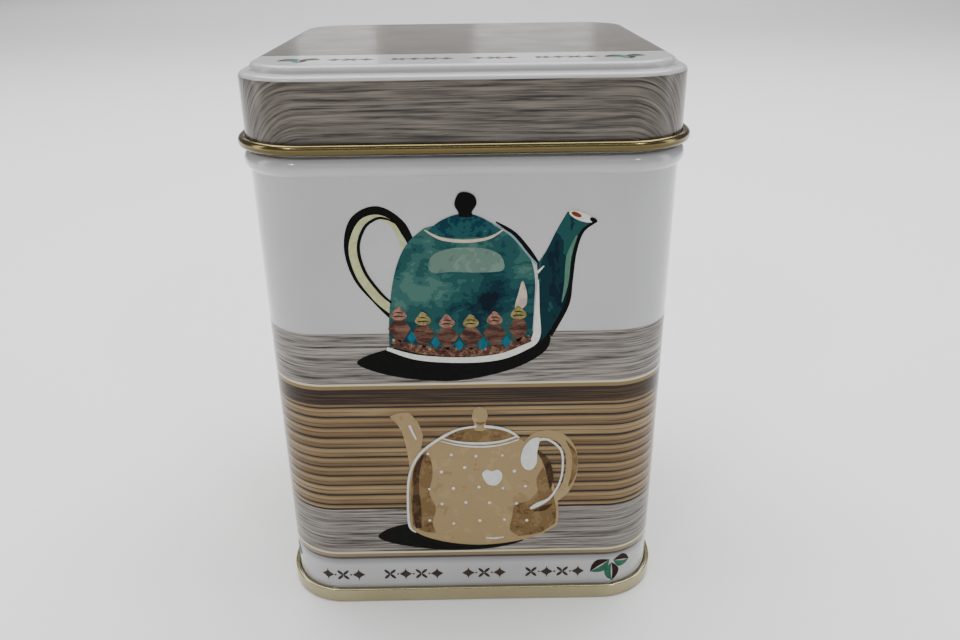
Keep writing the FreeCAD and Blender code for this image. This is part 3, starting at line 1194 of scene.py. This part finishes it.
def build_teal_teapot():
    """Picture of a rounded teal pot on the upper shelf, printed in layers."""
    black = flat_ink("black_ink", (10, 10, 9), (22, 21, 19), 700.0, 0.3)
    pale = flat_ink("handle_ink", (184, 186, 142), (158, 160, 118))
    white = flat_ink("picture_white", (214, 216, 208), (192, 194, 186))
    teal = glaze_ink("teal_glaze", [(0.0, (70, 106, 98)), (0.1, (52, 92, 88)), (0.3, (36, 76, 76)),
                                    (0.56, (22, 60, 66)), (0.78, (12, 44, 54)), (0.92, (6, 28, 38))],
                     150.0, (6.0, -8.0), 0.5, 1.3,
                     ((4.0, 71.0, 8.5, 0.34), (7.0, 73.5, 5.0, 0.22), (0.8, 69.5, 5.0, 0.2),
                      (-8.5, 72.5, 7.0, -0.42), (-9.0, 81.0, 5.0, 0.06), (2.0, 83.0, 6.0, -0.15),
                      (-13.5, 66.0, 5.0, 0.3)))
    deep = glaze_ink("spout_glaze", [(0.0, (34, 74, 74)), (0.18, (14, 48, 54)), (0.46, (6, 34, 44)),
                                     (0.76, (4, 22, 30))], 200.0, (25.0, -16.0), 0.58, 0.5)
    dome = glaze_ink("dome_glaze", [(0.0, (56, 104, 104)), (0.3, (30, 76, 80)), (0.58, (16, 54, 64)),
                                    (0.85, (9, 38, 48))], 260.0)
    sheen = glaze_ink("pale_sheen", [(0.0, (106, 130, 118)), (0.45, (95, 119, 109)),
                                     (0.8, (82, 107, 100))], 170.0)
    pink = glaze_ink("rose_sheen", [(0.0, (190, 176, 160)), (0.5, (170, 154, 144)),
                                    (0.8, (112, 128, 124))], 420.0)
    rim = flat_ink("rim_ink", (204, 184, 164), (180, 160, 144))
    strip = flat_ink("spout_edge_ink", (84, 122, 104), (66, 104, 90))
    brown = glaze_ink("lozenge_ink", [(0.0, (112, 84, 70)), (0.3, (92, 66, 56)), (0.56, (68, 46, 41)),
                                      (0.8, (48, 30, 28))], 240.0, stretch=3.2)
    base_band = glaze_ink("foot_band_ink", [(0.0, (160, 140, 112)), (0.26, (112, 84, 68)),
                                            (0.5, (76, 52, 44)), (0.76, (46, 28, 28))], 620.0)
    blue = flat_ink("blue_ink", (34, 98, 116), (20, 74, 94))
    bud = flat_ink("bud_ink", (152, 140, 90), (106, 96, 60), 1600.0, 0.9)
    rose = flat_ink("rose_ink", (154, 118, 102), (112, 78, 66), 1600.0, 0.9)
    rust = flat_ink("rust_ink", (124, 60, 32), (92, 42, 22))

    shadow = smooth([(-21.4, 58.7), (-16.5, 61.0), (-8.0, 62.4), (6.0, 62.0), (13.4, 65.0), (15.7, 63.4),
                     (14.3, 60.0), (8.0, 56.5), (-2.0, 54.3), (-11.0, 54.8), (-18.0, 56.5)], closed=True)
    handle_path = [(-9.6, 82.0), (-11.8, 86.2), (-15.8, 88.7), (-19.8, 86.8), (-21.1, 81.8), (-19.8, 76.2),
                   (-16.6, 71.6), (-14.0, 68.4)]
    handle = stroke(handle_path, [1.2, 1.8, 1.9, 1.9, 2.0, 2.1, 2.0, 1.8])
    grip_path = [(-11.0, 80.2), (-11.7, 83.4), (-13.3, 86.4), (-15.9, 87.7), (-18.8, 86.4), (-20.5, 81.9),
                 (-19.5, 76.7), (-16.6, 72.1), (-14.1, 69.5)]
    grip = stroke(grip_path, [0.5, 0.9, 0.9, 0.8, 1.1, 1.5, 1.7, 1.8, 1.6])
    spout_back = stroke([(23.2, 86.3), (20.9, 84.4), (19.7, 80.4), (19.2, 75.0), (18.6, 70.0), (15.6, 63.8)],
                        [0.7, 0.8, 0.8, 0.8, 0.9, 1.0])
    shoulder = stroke([(5.4, 86.4), (8.6, 84.2), (11.4, 80.9), (13.2, 78.3)], [0.3, 0.8, 0.8, 0.5])
    film_piece("teal_pot_shadow", [shadow, handle, spout_back, shoulder], 1, black)

    spout = outline([(12.9, 78.2), (14.6, 80.9), (16.3, 84.6), (18.2, 88.1)],
                    [(18.2, 88.1), (20.3, 87.9), (22.8, 86.2)],
                    [(22.8, 86.2), (20.6, 84.4), (19.4, 80.4), (18.9, 75.0), (18.2, 70.2), (15.0, 63.8)],
                    [(15.0, 63.8), (13.8, 62.9), (13.4, 66.0), (13.3, 73.0), (12.9, 78.2)])
    film_piece("teal_pot_spout", [spout], 2, deep)
    body = outline([(-15.0, 62.0), (-14.7, 68.0), (-13.8, 74.4), (-12.3, 79.6), (-10.3, 83.0), (-7.4, 85.5)],
                   [(-7.4, 85.5), (-3.5, 86.2), (2.5, 86.2), (6.4, 85.4)],
                   [(6.4, 85.4), (9.4, 82.9), (11.7, 79.3), (12.6, 75.2), (12.5, 70.0), (12.2, 62.9)],
                   [(12.2, 62.9), (6.0, 60.3), (-0.9, 59.6), (-8.4, 60.2), (-15.0, 62.0)])
    film_piece("teal_pot_glaze", [body], 3, teal)
    film_piece("teal_pot_grip", [grip], 2, pale)
    foot = stroke([(-15.5, 61.5), (-9.6, 59.5), (-1.0, 58.8), (6.0, 59.4), (10.9, 61.4), (13.0, 63.6),
                   (13.1, 69.0), (13.2, 75.2)], [0.7, 1.1, 1.2, 1.3, 1.3, 1.5, 0.9, 0.2])
    glint = stroke([(4.4, 86.3), (8.2, 83.9), (11.2, 80.2), (12.8, 78.2)], [0.2, 0.4, 0.35, 0.5])
    root = stroke([(13.0, 76.6), (14.2, 77.9)], [0.5, 0.2])
    mouth = oval((20.7, 87.2), 2.35, 0.8, -22.0)
    film_piece("teal_pot_foot_line", [foot, root, mouth], 4, white)
    film_piece("teal_pot_glint", [glint], 4, flat_ink("glint_ink", (128, 150, 156), (104, 130, 138)))
    spout_edge = stroke([(20.0, 83.6), (18.7, 79.6), (18.4, 74.6), (17.7, 70.6)], [0.3, 0.9, 0.8, 0.2])
    film_piece("teal_pot_spout_edge", [spout_edge], 3, strip)
    film_piece("teal_pot_mouth", [oval((19.8, 87.6), 1.0, 0.4, -24.0)], 5, rust)

    cover = outline([(-6.9, 84.9), (-4.6, 86.7), (-1.6, 87.9), (1.2, 87.9), (4.2, 86.5), (6.3, 84.7)],
                    [(6.3, 84.7), (3.4, 83.8), (-0.3, 83.5), (-4.0, 83.8), (-6.9, 84.9)])
    film_piece("teal_pot_cover", [cover], 4, dome)
    rim_line = stroke([(-7.4, 85.1), (-4.6, 83.5), (-0.3, 82.9), (4.0, 83.4), (6.8, 85.0)],
                      [0.2, 0.55, 0.6, 0.5, 0.2])
    film_piece("teal_pot_rim", [rim_line], 5, rim)
    knob = smooth([(-1.0, 87.5), (-1.3, 88.4), (-1.95, 89.8), (-1.2, 91.7), (0.2, 92.0), (1.6, 91.3),
                   (2.0, 89.9), (1.2, 88.4), (1.1, 87.5)], closed=True)
    lip = oval((22.9, 86.5), 0.75, 0.4, -30.0)
    film_piece("teal_pot_knob", [knob, lip], 5, black)
    patch = outline([(-7.1, 78.2), (-6.2, 80.2), (-3.6, 81.4), (0.2, 81.7), (4.0, 81.3), (6.3, 80.0),
                     (7.0, 78.0)],
                    [(7.0, 78.0), (6.2, 77.0), (2.0, 76.8), (-2.6, 77.0), (-6.2, 76.9), (-7.1, 78.2)])
    film_piece("teal_pot_sheen", [patch], 4, sheen)
    inner_line = stroke([(-12.6, 86.4), (-14.2, 87.3), (-16.0, 87.3), (-18.2, 85.6), (-19.5, 81.8),
                         (-18.6, 77.2), (-16.0, 73.0), (-14.1, 71.0)],
                        [0.1, 0.4, 0.5, 0.55, 0.6, 0.6, 0.55, 0.4])
    film_piece("teal_pot_grip_line", [inner_line], 3, black)
    highlight = smooth([(10.3, 75.0), (11.1, 72.6), (11.0, 70.2), (9.6, 69.2), (8.9, 69.8), (9.5, 72.4)],
                       closed=True)
    film_piece("teal_pot_highlight", [highlight], 4, pink)

    lozenges, gems, buds, petals, seeds = teal_pattern()
    film_piece("teal_pot_lozenges", lozenges, 4, brown)
    band_path = [(-14.5, 62.9), (-9.0, 61.2), (-0.9, 60.5), (6.0, 61.1), (11.9, 63.3)]
    film_piece("teal_pot_foot_band", [stroke(band_path, [1.6, 1.8, 1.9, 1.8, 1.5])], 4, base_band)
    film_piece("teal_pot_gems", gems, 5, blue)
    film_piece("teal_pot_buds", buds, 5, bud)
    film_piece("teal_pot_petals", petals, 5, rose)
    film_piece("teal_pot_seeds", seeds, 6, flat_ink("seed_ink", (44, 32, 24), (30, 22, 18)))


# ---------------------------------------------------------------- tan teapot

def tan_spots():
    """White spots in uneven rows, clear of the blotch and of the shaded side."""
    picker = random.Random(7)
    pitch = 5.0
    blotch, clear, shaded = (4.3, 31.6), 2.6, 11.8
    dots = []
    for row, (z, count) in enumerate(((37.4, 4), (33.6, 5), (29.4, 5), (25.2, 5), (20.6, 5))):
        for i in range(count):
            u = -8.4 + (i + 0.5 * (row % 2)) * pitch + picker.uniform(-0.5, 0.5)
            if math.dist((u, z), blotch) < clear or u > shaded:
                continue
            size = picker.uniform(0.25, 0.36)
            dots.append(oval((u, z + picker.uniform(-0.6, 0.6)), size, size, 0.0, 14))
    return dots


def build_tan_teapot():
    """Picture of a low tan pot with white spots on the lower shelf, printed in layers."""
    shade = flat_ink("shadow_ink", (18, 19, 16), (30, 30, 26), 700.0, 0.4)
    tan = glaze_ink("tan_glaze", [(0.0, (160, 139, 104)), (0.34, (152, 131, 97)), (0.72, (142, 121, 88)),
                                  (0.93, (124, 103, 72))], 130.0)
    mid = glaze_ink("tan_shade", [(0.0, (126, 105, 74)), (0.4, (112, 91, 62)), (0.7, (90, 71, 49))], 320.0)
    dark = glaze_ink("umber_shade", [(0.0, (84, 66, 47)), (0.4, (64, 49, 35)), (0.68, (40, 30, 24))], 320.0)
    white = flat_ink("spot_white", (210, 212, 208), (188, 190, 188))

    shadow = smooth([(-19.9, 17.0), (-16.8, 19.2), (-11.5, 20.0), (0.0, 18.0), (11.0, 15.8), (6.0, 13.6),
                     (-3.0, 12.9), (-11.0, 13.7), (-17.4, 15.2)], closed=True)
    film_piece("tan_pot_shadow", [shadow], 1, shade)
    spout = outline([(-15.8, 46.4), (-14.2, 47.2), (-12.0, 47.3)],
                    [(-12.0, 47.3), (-10.3, 45.0), (-9.4, 42.0)],
                    [(-9.4, 42.0), (-10.2, 38.0), (-12.4, 34.0)],
                    [(-12.4, 34.0), (-12.8, 38.4), (-13.8, 43.4), (-15.8, 46.4)])
    handle_path = [(11.2, 38.6), (13.8, 41.2), (17.6, 41.2), (20.2, 38.2), (20.8, 33.4), (19.6, 28.6),
                   (16.6, 25.2), (13.0, 23.4)]
    handle = stroke(handle_path, [2.2, 2.4, 2.2, 2.3, 2.4, 2.2, 1.5, 0.7])
    film_piece("tan_pot_spout_and_handle", [spout, handle], 2, tan)
    handle_shade = stroke([(19.4, 40.2), (21.2, 36.8), (21.2, 32.2), (20.2, 29.0)], [0.2, 1.0, 1.0, 0.2])
    film_piece("tan_pot_handle_shade", [handle_shade], 3, mid)
    body = outline([(-7.0, 40.6), (-10.4, 37.4), (-12.5, 32.2), (-13.2, 25.0), (-13.1, 19.4)],
                   [(-13.1, 19.4), (-10.4, 17.0), (-5.0, 15.1), (1.6, 14.3), (8.4, 14.9), (14.2, 16.6),
                    (18.2, 19.2)],
                   [(18.2, 19.2), (18.3, 23.6), (17.2, 29.2), (15.3, 34.4), (12.7, 38.4), (9.7, 41.2)],
                   [(9.7, 41.2), (6.5, 43.2), (2.0, 43.9), (-2.4, 43.2), (-7.0, 40.6)])
    film_piece("tan_pot_glaze", [body], 3, tan)
    left = outline([(-9.0, 38.2), (-11.0, 35.6), (-12.2, 31.0), (-12.5, 25.0), (-12.4, 19.6)],
                   [(-12.4, 19.6), (-10.0, 18.0), (-7.6, 17.7)],
                   [(-7.6, 17.7), (-8.2, 20.6), (-7.4, 24.0), (-8.6, 28.0), (-7.8, 32.4), (-8.0, 36.0),
                    (-9.0, 38.2)])
    right = outline([(12.0, 25.4), (9.2, 24.4), (8.6, 21.4), (8.2, 18.2), (10.0, 16.4)],
                    [(10.0, 16.4), (14.4, 17.2), (17.7, 19.6)],
                    [(17.7, 19.6), (17.8, 23.6), (16.6, 29.2), (14.9, 34.0)],
                    [(14.9, 34.0), (13.6, 31.0), (13.8, 27.8), (12.0, 25.4)])
    film_piece("tan_pot_side_shade", [left, right], 4, mid)
    deep_left = stroke([(-9.6, 37.4), (-11.0, 33.6), (-11.3, 29.0), (-11.4, 24.0), (-11.2, 19.0)],
                       [0.4, 1.3, 1.2, 1.9, 1.2])
    deep_right = stroke([(13.4, 38.0), (15.4, 35.4), (16.4, 31.6), (16.5, 28.6)], [0.4, 1.3, 1.3, 0.3])
    under = stroke([(13.0, 22.9), (15.2, 23.6), (17.0, 24.6)], [0.3, 1.2, 0.3])
    film_piece("tan_pot_deep_shade", [deep_left, deep_right, under], 5, dark)
    cover = outline([(-5.2, 41.1), (-2.2, 43.1), (2.0, 43.8), (6.2, 43.1), (9.2, 41.3)],
                    [(9.2, 41.3), (6.0, 40.2), (2.0, 39.8), (-2.0, 40.1), (-5.2, 41.1)])
    film_piece("tan_pot_cover", [cover], 4, mid)
    knob = smooth([(0.9, 43.2), (0.9, 44.6), (0.5, 46.2), (1.0, 47.9), (2.1, 48.4), (3.3, 47.7), (3.6, 46.2),
                   (3.2, 44.6), (3.3, 43.2), (2.1, 42.8)], closed=True)
    film_piece("tan_pot_knob", [knob], 5, tan)
    knob_shade = stroke([(1.2, 44.9), (2.2, 44.5), (3.1, 44.9)], [0.2, 0.6, 0.2])
    film_piece("tan_pot_knob_shade", [knob_shade], 6, mid)

    lines = [
        stroke([(1.4, 43.9), (-2.4, 43.2), (-6.6, 40.8), (-10.4, 37.3), (-12.6, 32.2), (-13.2, 25.2),
                (-13.1, 19.6), (-11.8, 17.9)], [0.4, 0.45, 0.55, 0.5, 0.45, 0.45, 0.5, 0.25]),
        stroke([(2.9, 43.9), (6.0, 43.4), (8.4, 42.4), (9.9, 41.1)], [0.6, 0.6, 0.5, 0.3]),
        stroke([(-12.0, 44.4), (-11.5, 42.9), (-10.8, 41.1)], [0.5, 0.4, 0.3]),
        stroke([(13.4, 40.4), (15.8, 40.5), (18.4, 38.0), (18.9, 34.0), (18.3, 29.8), (16.4, 26.2),
                (14.0, 24.6), (12.4, 23.6)], [0.6, 0.5, 0.45, 0.4, 0.4, 0.5, 1.0, 0.5]),
        stroke([(3.0, 16.2), (4.8, 16.0), (6.8, 16.3)], [0.25, 0.4, 0.25]),
    ]
    over = [
        stroke([(-5.6, 41.3), (-2.4, 40.3), (2.0, 39.9), (6.2, 40.3), (9.6, 41.5)],
               [0.2, 0.4, 0.5, 0.4, 0.3]),
        stroke([(-5.8, 40.6), (-2.4, 39.6), (2.0, 39.1), (6.2, 39.5), (9.9, 40.7)],
               [0.15, 0.3, 0.4, 0.3, 0.2]),
        smooth([(10.3, 36.0), (10.9, 38.8), (12.4, 40.7), (14.0, 41.0), (13.9, 39.4), (13.6, 37.4),
                (13.5, 34.9), (12.3, 33.3), (10.9, 33.9)], closed=True),
    ]
    film_piece("tan_pot_lines", lines, 6, white)
    film_piece("tan_pot_rim_and_tongue", over, 7, white)
    blotch = smooth([(2.4, 32.4), (3.3, 33.5), (4.4, 33.1), (5.6, 33.5), (6.5, 32.3), (6.1, 30.5),
                     (4.9, 29.6), (3.4, 30.1)], closed=True)
    film_piece("tan_pot_blotch", [blotch], 6, white)
    film_piece("tan_pot_spots", tan_spots(), 5, white)


# ---------------------------------------------------------------- borders and sprigs

def leaf(stem, tip, belly, side):
    """Half of a pointed leaf, to one side of its midrib."""
    sx, sy = stem
    tx, ty = tip
    nx, ny = -(ty - sy) * side, (tx - sx) * side
    size = math.hypot(nx, ny)
    nx, ny = nx / size * belly, ny / size * belly
    mid = [(sx + (tx - sx) * p + nx * q, sy + (ty - sy) * p + ny * q)
           for p, q in ((0.0, 0.0), (0.2, 0.62), (0.45, 1.0), (0.75, 0.72), (1.0, 0.0))]
    rib = [(tx, ty), ((sx + tx) / 2 + nx * 0.1, (sy + ty) / 2 + ny * 0.1), (sx, sy)]
    return outline(mid, rib)


LEAF_BELLY = 1.55        # half-width of a leaf
SPRIG = (                # stem, tip and dark side of each leaf
    ((-0.35, 2.0), (-4.2, -0.9), -1.0),
    ((0.1, 1.2), (0.4, -3.5), 1.0),
    ((0.45, 1.7), (4.2, 0.9), 1.0),
)


def sprig_loops(centre, size):
    """Three small leaves: the halves in one ink, and the halves in the other."""
    first = []
    second = []
    for stem, tip, side in SPRIG:
        ends = [(centre[0] + x * size, centre[1] + y * size) for x, y in (stem, tip)]
        first.append(leaf(*ends, LEAF_BELLY * size, side))
        second.append(leaf(*ends, LEAF_BELLY * size, -side))
    return first, second


BORDER_GROUPS = (3, 4, 3, 4)     # ornaments in each group, with one left out between groups


def diamond(x, y, half, tall, waist):
    """Four curves between the points of a pinched lozenge."""
    points = [(x - half, y), (x, y + tall), (x + half, y), (x, y - tall)]
    curves = []
    for (ax, ay), (bx, by) in zip(points, points[1:] + points[:1]):
        side_x = x + math.copysign(waist * half, ax + bx - 2 * x)
        side_y = y + math.copysign(tall / 2, ay + by - 2 * y)
        curves.append([(ax, ay), (side_x, side_y), (bx, by)])
    return outline(*curves)


def border_loops(start, end, level, size):
    """Running border of small buds, lozenges and dots in even groups."""
    loops = []
    beats = sum(BORDER_GROUPS) + len(BORDER_GROUPS) - 1
    pitch = (end - start) / (beats - 1)
    x = start
    for count in BORDER_GROUPS:
        for i in range(count):
            if (i + count) % 2:
                loops.append(diamond(x, level, size * 0.42, size / 2, 0.2))
            else:
                for turn in (45, 135, 225, 315):
                    a = math.radians(turn)
                    spot = (x + math.cos(a) * size * 0.27, level + math.sin(a) * size * 0.27)
                    loops.append(oval(spot, size * 0.25, size * 0.1, turn, 16))
            if i < count - 1:
                loops.append(oval((x + pitch / 2, level), size * 0.07, size * 0.07, 0.0, 10))
            x += pitch
        x += pitch
    return loops


def border_inks():
    """Inks of the ornament, and of the leaves' dark and green halves."""
    return (flat_ink("border_ink", (68, 59, 54), (52, 45, 41)),
            flat_ink("leaf_brown", (50, 32, 30), (34, 21, 20)),
            flat_ink("leaf_green", (56, 104, 82), (38, 82, 66)))


def build_foot_border():
    """Ornament and leaf sprig round the white band at the foot."""
    ink, brown, green = border_inks()
    dark, pale = sprig_loops((30.2, 7.3), 1.08)
    film_piece("foot_border", border_loops(-31.6, 23.0, 6.6, 3.3), 1, ink, 0.8)
    film_piece("foot_sprig_dark", dark, 1, brown, 0.6)
    film_piece("foot_sprig_green", pale, 1, green, 0.6)


def build_lid_border():
    """The same border and sprigs on the lid's white strip."""
    film = bpy.context.scene.caddy_sizes.film
    ink, brown, green = border_inks()
    top = LID_BOX[1][2] - film

    def place(across, up, lift):
        return Vector((across, up, top + lift))

    level = -30.2
    left_dark, left_green = sprig_loops((-28.8, level - 0.2), 0.88)
    right_dark, right_green = sprig_loops((28.6, level - 0.2), 0.88)
    for name, loops, material in (
        ("lid_border", border_loops(-22.6, 22.4, level, 3.2), ink),
        ("lid_sprigs_dark", left_dark + right_dark, brown),
        ("lid_sprigs_green", left_green + right_green, green),
    ):
        skin = Skin()
        for loop in loops:
            add_film(skin, loop, place, -film, film)
        skin.build(name, [material], LID, crease=30)


# ---------------------------------------------------------------- stage

class StageSettings(bpy.types.PropertyGroup):
    """Camera and light."""
    eye: bpy.props.FloatVectorProperty(
        name="Eye", description="Place of the camera", default=(0.0013, -0.18275, 0.1323),
        subtype="TRANSLATION", unit="LENGTH"
    )
    turn: bpy.props.FloatProperty(
        name="Turn", description="Camera turned to the right", default=math.radians(0.42), unit="ROTATION"
    )
    dip: bpy.props.FloatProperty(
        name="Dip", description="Camera pointed down", default=math.radians(24.47), unit="ROTATION"
    )
    lean: bpy.props.FloatProperty(
        name="Lean", description="Camera leaned over", default=math.radians(-0.74), unit="ROTATION"
    )
    lens: bpy.props.FloatProperty(name="Lens", description="Focal length in millimetres", default=31.3)
    floor: colour("Floor", "Pale floor", (238, 238, 238))
    air: bpy.props.FloatProperty(name="Air", description="Strength of the soft light all round", default=0.2)


def build_camera(settings):
    """Camera at its place, turned, dipped and leaned."""
    forward = Vector((math.sin(settings.turn) * math.cos(settings.dip),
                      math.cos(settings.turn) * math.cos(settings.dip), -math.sin(settings.dip)))
    level = Vector((math.cos(settings.turn), -math.sin(settings.turn), 0.0))
    upright = level.cross(forward)
    c, s = math.cos(settings.lean), math.sin(settings.lean)
    right = level * c + upright * s
    up = upright * c - level * s
    data = bpy.data.cameras.new("camera")
    data.lens = settings.lens
    data.clip_start = 0.01
    camera = bpy.data.objects.new("camera", data)
    bpy.context.scene.collection.objects.link(camera)
    turn = Matrix((right, up, -forward)).transposed().to_4x4()
    camera.matrix_world = Matrix.Translation(settings.eye) @ turn
    bpy.context.scene.camera = camera


def build_floor(settings):
    """Floor that curves up into a backdrop well behind the caddy."""
    material, w = new_material("studio_floor")
    if w:
        cloud = w.noise(w.place(), 3.0)
        pale = w.mix(cloud, settings.floor, [0.97 * part for part in settings.floor])
        shader = w.add("BsdfPrincipled", {"Base Color": pale, "Roughness": 0.7})
        w.add("OutputMaterial", {"Surface": shader.outputs[0]})
    wide, front, back, bend, high = 7.0, -7.0, 2.5, 0.3, 0.32
    profile = [(front, 0.0), (back - bend, 0.0)]
    profile += [(back - bend + bend * math.sin(a), bend - bend * math.cos(a))
                for a in (math.pi / 2 * i / 12 for i in range(1, 13))]
    profile.append((back, high))
    mesh = bpy.data.meshes.new("studio_floor")
    points = [(x, y, z) for y, z in profile for x in (-wide, wide)]
    faces = [(2 * i, 2 * i + 1, 2 * i + 3, 2 * i + 2) for i in range(len(profile) - 1)]
    mesh.from_pydata(points, [], faces)
    mesh.polygons.foreach_set("use_smooth", [True] * len(mesh.polygons))
    mesh.materials.append(material)
    floor = bpy.data.objects.new("studio_floor", mesh)
    bpy.context.scene.collection.objects.link(floor)


WHITE, WARM, COOL = (1.0, 1.0, 1.0), (1.0, 0.98, 0.94), (0.94, 0.97, 1.0)
LIGHTS = (               # name, place, size, watts and tint of each light that faces the caddy
    ("overhead_softbox", (0.0, 0.3, 1.05), (1.5, 1.1), 30.0, WHITE),
    ("front_strip", (-0.1, -0.95, 0.6), (0.85, 0.045), 0.6, WHITE),
    ("left_key", (-0.5, -0.75, 0.7), (0.11, 0.11), 1.6, (1.0, 0.97, 0.92)),
    ("right_key", (0.5, -0.75, 0.7), (0.11, 0.11), 1.5, (0.93, 0.97, 1.0)),
    ("left_card", (-0.75, -0.1, 0.25), (0.2, 0.6), 1.1, WARM),
    ("right_card", (0.75, -0.1, 0.25), (0.2, 0.6), 1.0, COOL),
    ("rear_left_card", (-0.27, 1.6, 0.31), (0.16, 0.14), 0.07, WHITE),
    ("rear_right_card", (0.13, 1.6, 0.31), (0.24, 0.14), 0.09, (1.0, 0.98, 0.95)),
)


def soft_light(name, place, aim, size, watts, tint=WHITE):
    """Rectangular light that faces a point."""
    data = bpy.data.lights.new(name, "AREA")
    data.shape = "RECTANGLE"
    data.size, data.size_y = size
    data.energy = watts
    data.color = tint
    lamp = bpy.data.objects.new(name, data)
    lamp.location = place
    lamp.rotation_euler = (Vector(aim) - Vector(place)).to_track_quat("-Z", "Y").to_euler()
    bpy.context.scene.collection.objects.link(lamp)


def build_stage():
    """Camera, floor, lights and the soft air all round."""
    settings = bpy.context.scene.caddy_stage
    build_camera(settings)
    build_floor(settings)
    middle = (0.0, 0.0, CAD_BOX[1][2] / 2)
    for name, place, size, watts, tint in LIGHTS:
        soft_light(name, place, middle, size, watts, tint)
    soft_light("backdrop_light", (0.0, 1.9, 0.95), (0.0, 2.15, 0.0), (2.4, 0.9), 16.0)
    world = bpy.data.worlds.new("soft_air")
    world.use_nodes = True
    air = world.node_tree.nodes["Background"]
    air.inputs["Color"].default_value = WHITE + (1.0,)
    air.inputs["Strength"].default_value = settings.air
    bpy.context.scene.world = world


# ---------------------------------------------------------------- operators and panel

class CADDY_OT_stage(bpy.types.Operator):
    """Adds the floor, the lights and the camera"""
    bl_idname = "caddy.stage"
    bl_label = "Stage"

    def execute(self, context):
        build_stage()
        return {"FINISHED"}


class CADDY_OT_body(bpy.types.Operator):
    """Builds the wrapped and printed wall with its neck and bead"""
    bl_idname = "caddy.body"
    bl_label = "Body shell"

    def execute(self, context):
        build_body()
        return {"FINISHED"}


class CADDY_OT_lock_seam(bpy.types.Operator):
    """Builds the folded seam inside the back"""
    bl_idname = "caddy.lock_seam"
    bl_label = "Lock seam"

    def execute(self, context):
        build_lock_seam()
        return {"FINISHED"}


class CADDY_OT_base(bpy.types.Operator):
    """Builds the gold bottom and its double seam"""
    bl_idname = "caddy.base"
    bl_label = "Base end"

    def execute(self, context):
        build_base()
        return {"FINISHED"}


class CADDY_OT_lid(bpy.types.Operator):
    """Builds the drawn and printed lid with its curl"""
    bl_idname = "caddy.lid"
    bl_label = "Lid"

    def execute(self, context):
        build_lid()
        return {"FINISHED"}


class CADDY_OT_teal_teapot(bpy.types.Operator):
    """Prints the teal pot on each side"""
    bl_idname = "caddy.teal_teapot"
    bl_label = "Teal teapot"

    def execute(self, context):
        build_teal_teapot()
        return {"FINISHED"}


class CADDY_OT_tan_teapot(bpy.types.Operator):
    """Prints the spotted tan pot on each side"""
    bl_idname = "caddy.tan_teapot"
    bl_label = "Tan teapot"

    def execute(self, context):
        build_tan_teapot()
        return {"FINISHED"}


class CADDY_OT_foot_border(bpy.types.Operator):
    """Prints the ornament round the foot"""
    bl_idname = "caddy.foot_border"
    bl_label = "Foot border"

    def execute(self, context):
        build_foot_border()
        return {"FINISHED"}


class CADDY_OT_lid_border(bpy.types.Operator):
    """Prints the ornament on the lid"""
    bl_idname = "caddy.lid_border"
    bl_label = "Lid border"

    def execute(self, context):
        build_lid_border()
        return {"FINISHED"}


OPERATORS = (
    CADDY_OT_stage,
    CADDY_OT_body,
    CADDY_OT_lock_seam,
    CADDY_OT_base,
    CADDY_OT_lid,
    CADDY_OT_teal_teapot,
    CADDY_OT_tan_teapot,
    CADDY_OT_foot_border,
    CADDY_OT_lid_border,
)


class CADDY_PT_panel(bpy.types.Panel):
    """Sidebar panel with the caddy's sizes, colours and pieces."""
    bl_label = "Tea caddy"
    bl_idname = "CADDY_PT_panel"
    bl_space_type = "VIEW_3D"
    bl_region_type = "UI"
    bl_category = "Caddy"

    def draw(self, context):
        layout = self.layout
        for kind in OPERATORS:
            layout.operator(kind.bl_idname)
        for title, group in (("Sizes", context.scene.caddy_sizes), ("Print", context.scene.caddy_layout),
                             ("Colours", context.scene.caddy_colours), ("Stage", context.scene.caddy_stage)):
            box = layout.box()
            box.label(text=title)
            for key in group.__annotations__:
                box.prop(group, key)


GROUPS = (
    ("caddy_sizes", CaddySizes),
    ("caddy_layout", PrintLayout),
    ("caddy_colours", PrintColours),
    ("caddy_stage", StageSettings),
)


def register():
    """Adds the settings, the operators and the panel."""
    for name, kind in GROUPS:
        bpy.utils.register_class(kind)
        setattr(bpy.types.Scene, name, bpy.props.PointerProperty(type=kind))
    for kind in OPERATORS + (CADDY_PT_panel,):
        bpy.utils.register_class(kind)


def unregister():
    """Takes them away again."""
    for kind in (CADDY_PT_panel,) + OPERATORS[::-1]:
        bpy.utils.unregister_class(kind)
    for name, kind in GROUPS:
        delattr(bpy.types.Scene, name)
        bpy.utils.unregister_class(kind)


def main():
    """Builds the stage and every piece in order."""
    register()
    bpy.ops.caddy.stage()
    bpy.ops.caddy.body()
    bpy.ops.caddy.lock_seam()
    bpy.ops.caddy.base()
    bpy.ops.caddy.lid()
    bpy.ops.caddy.teal_teapot()
    bpy.ops.caddy.tan_teapot()
    bpy.ops.caddy.foot_border()
    bpy.ops.caddy.lid_border()


if __name__ == "__main__":
    main()
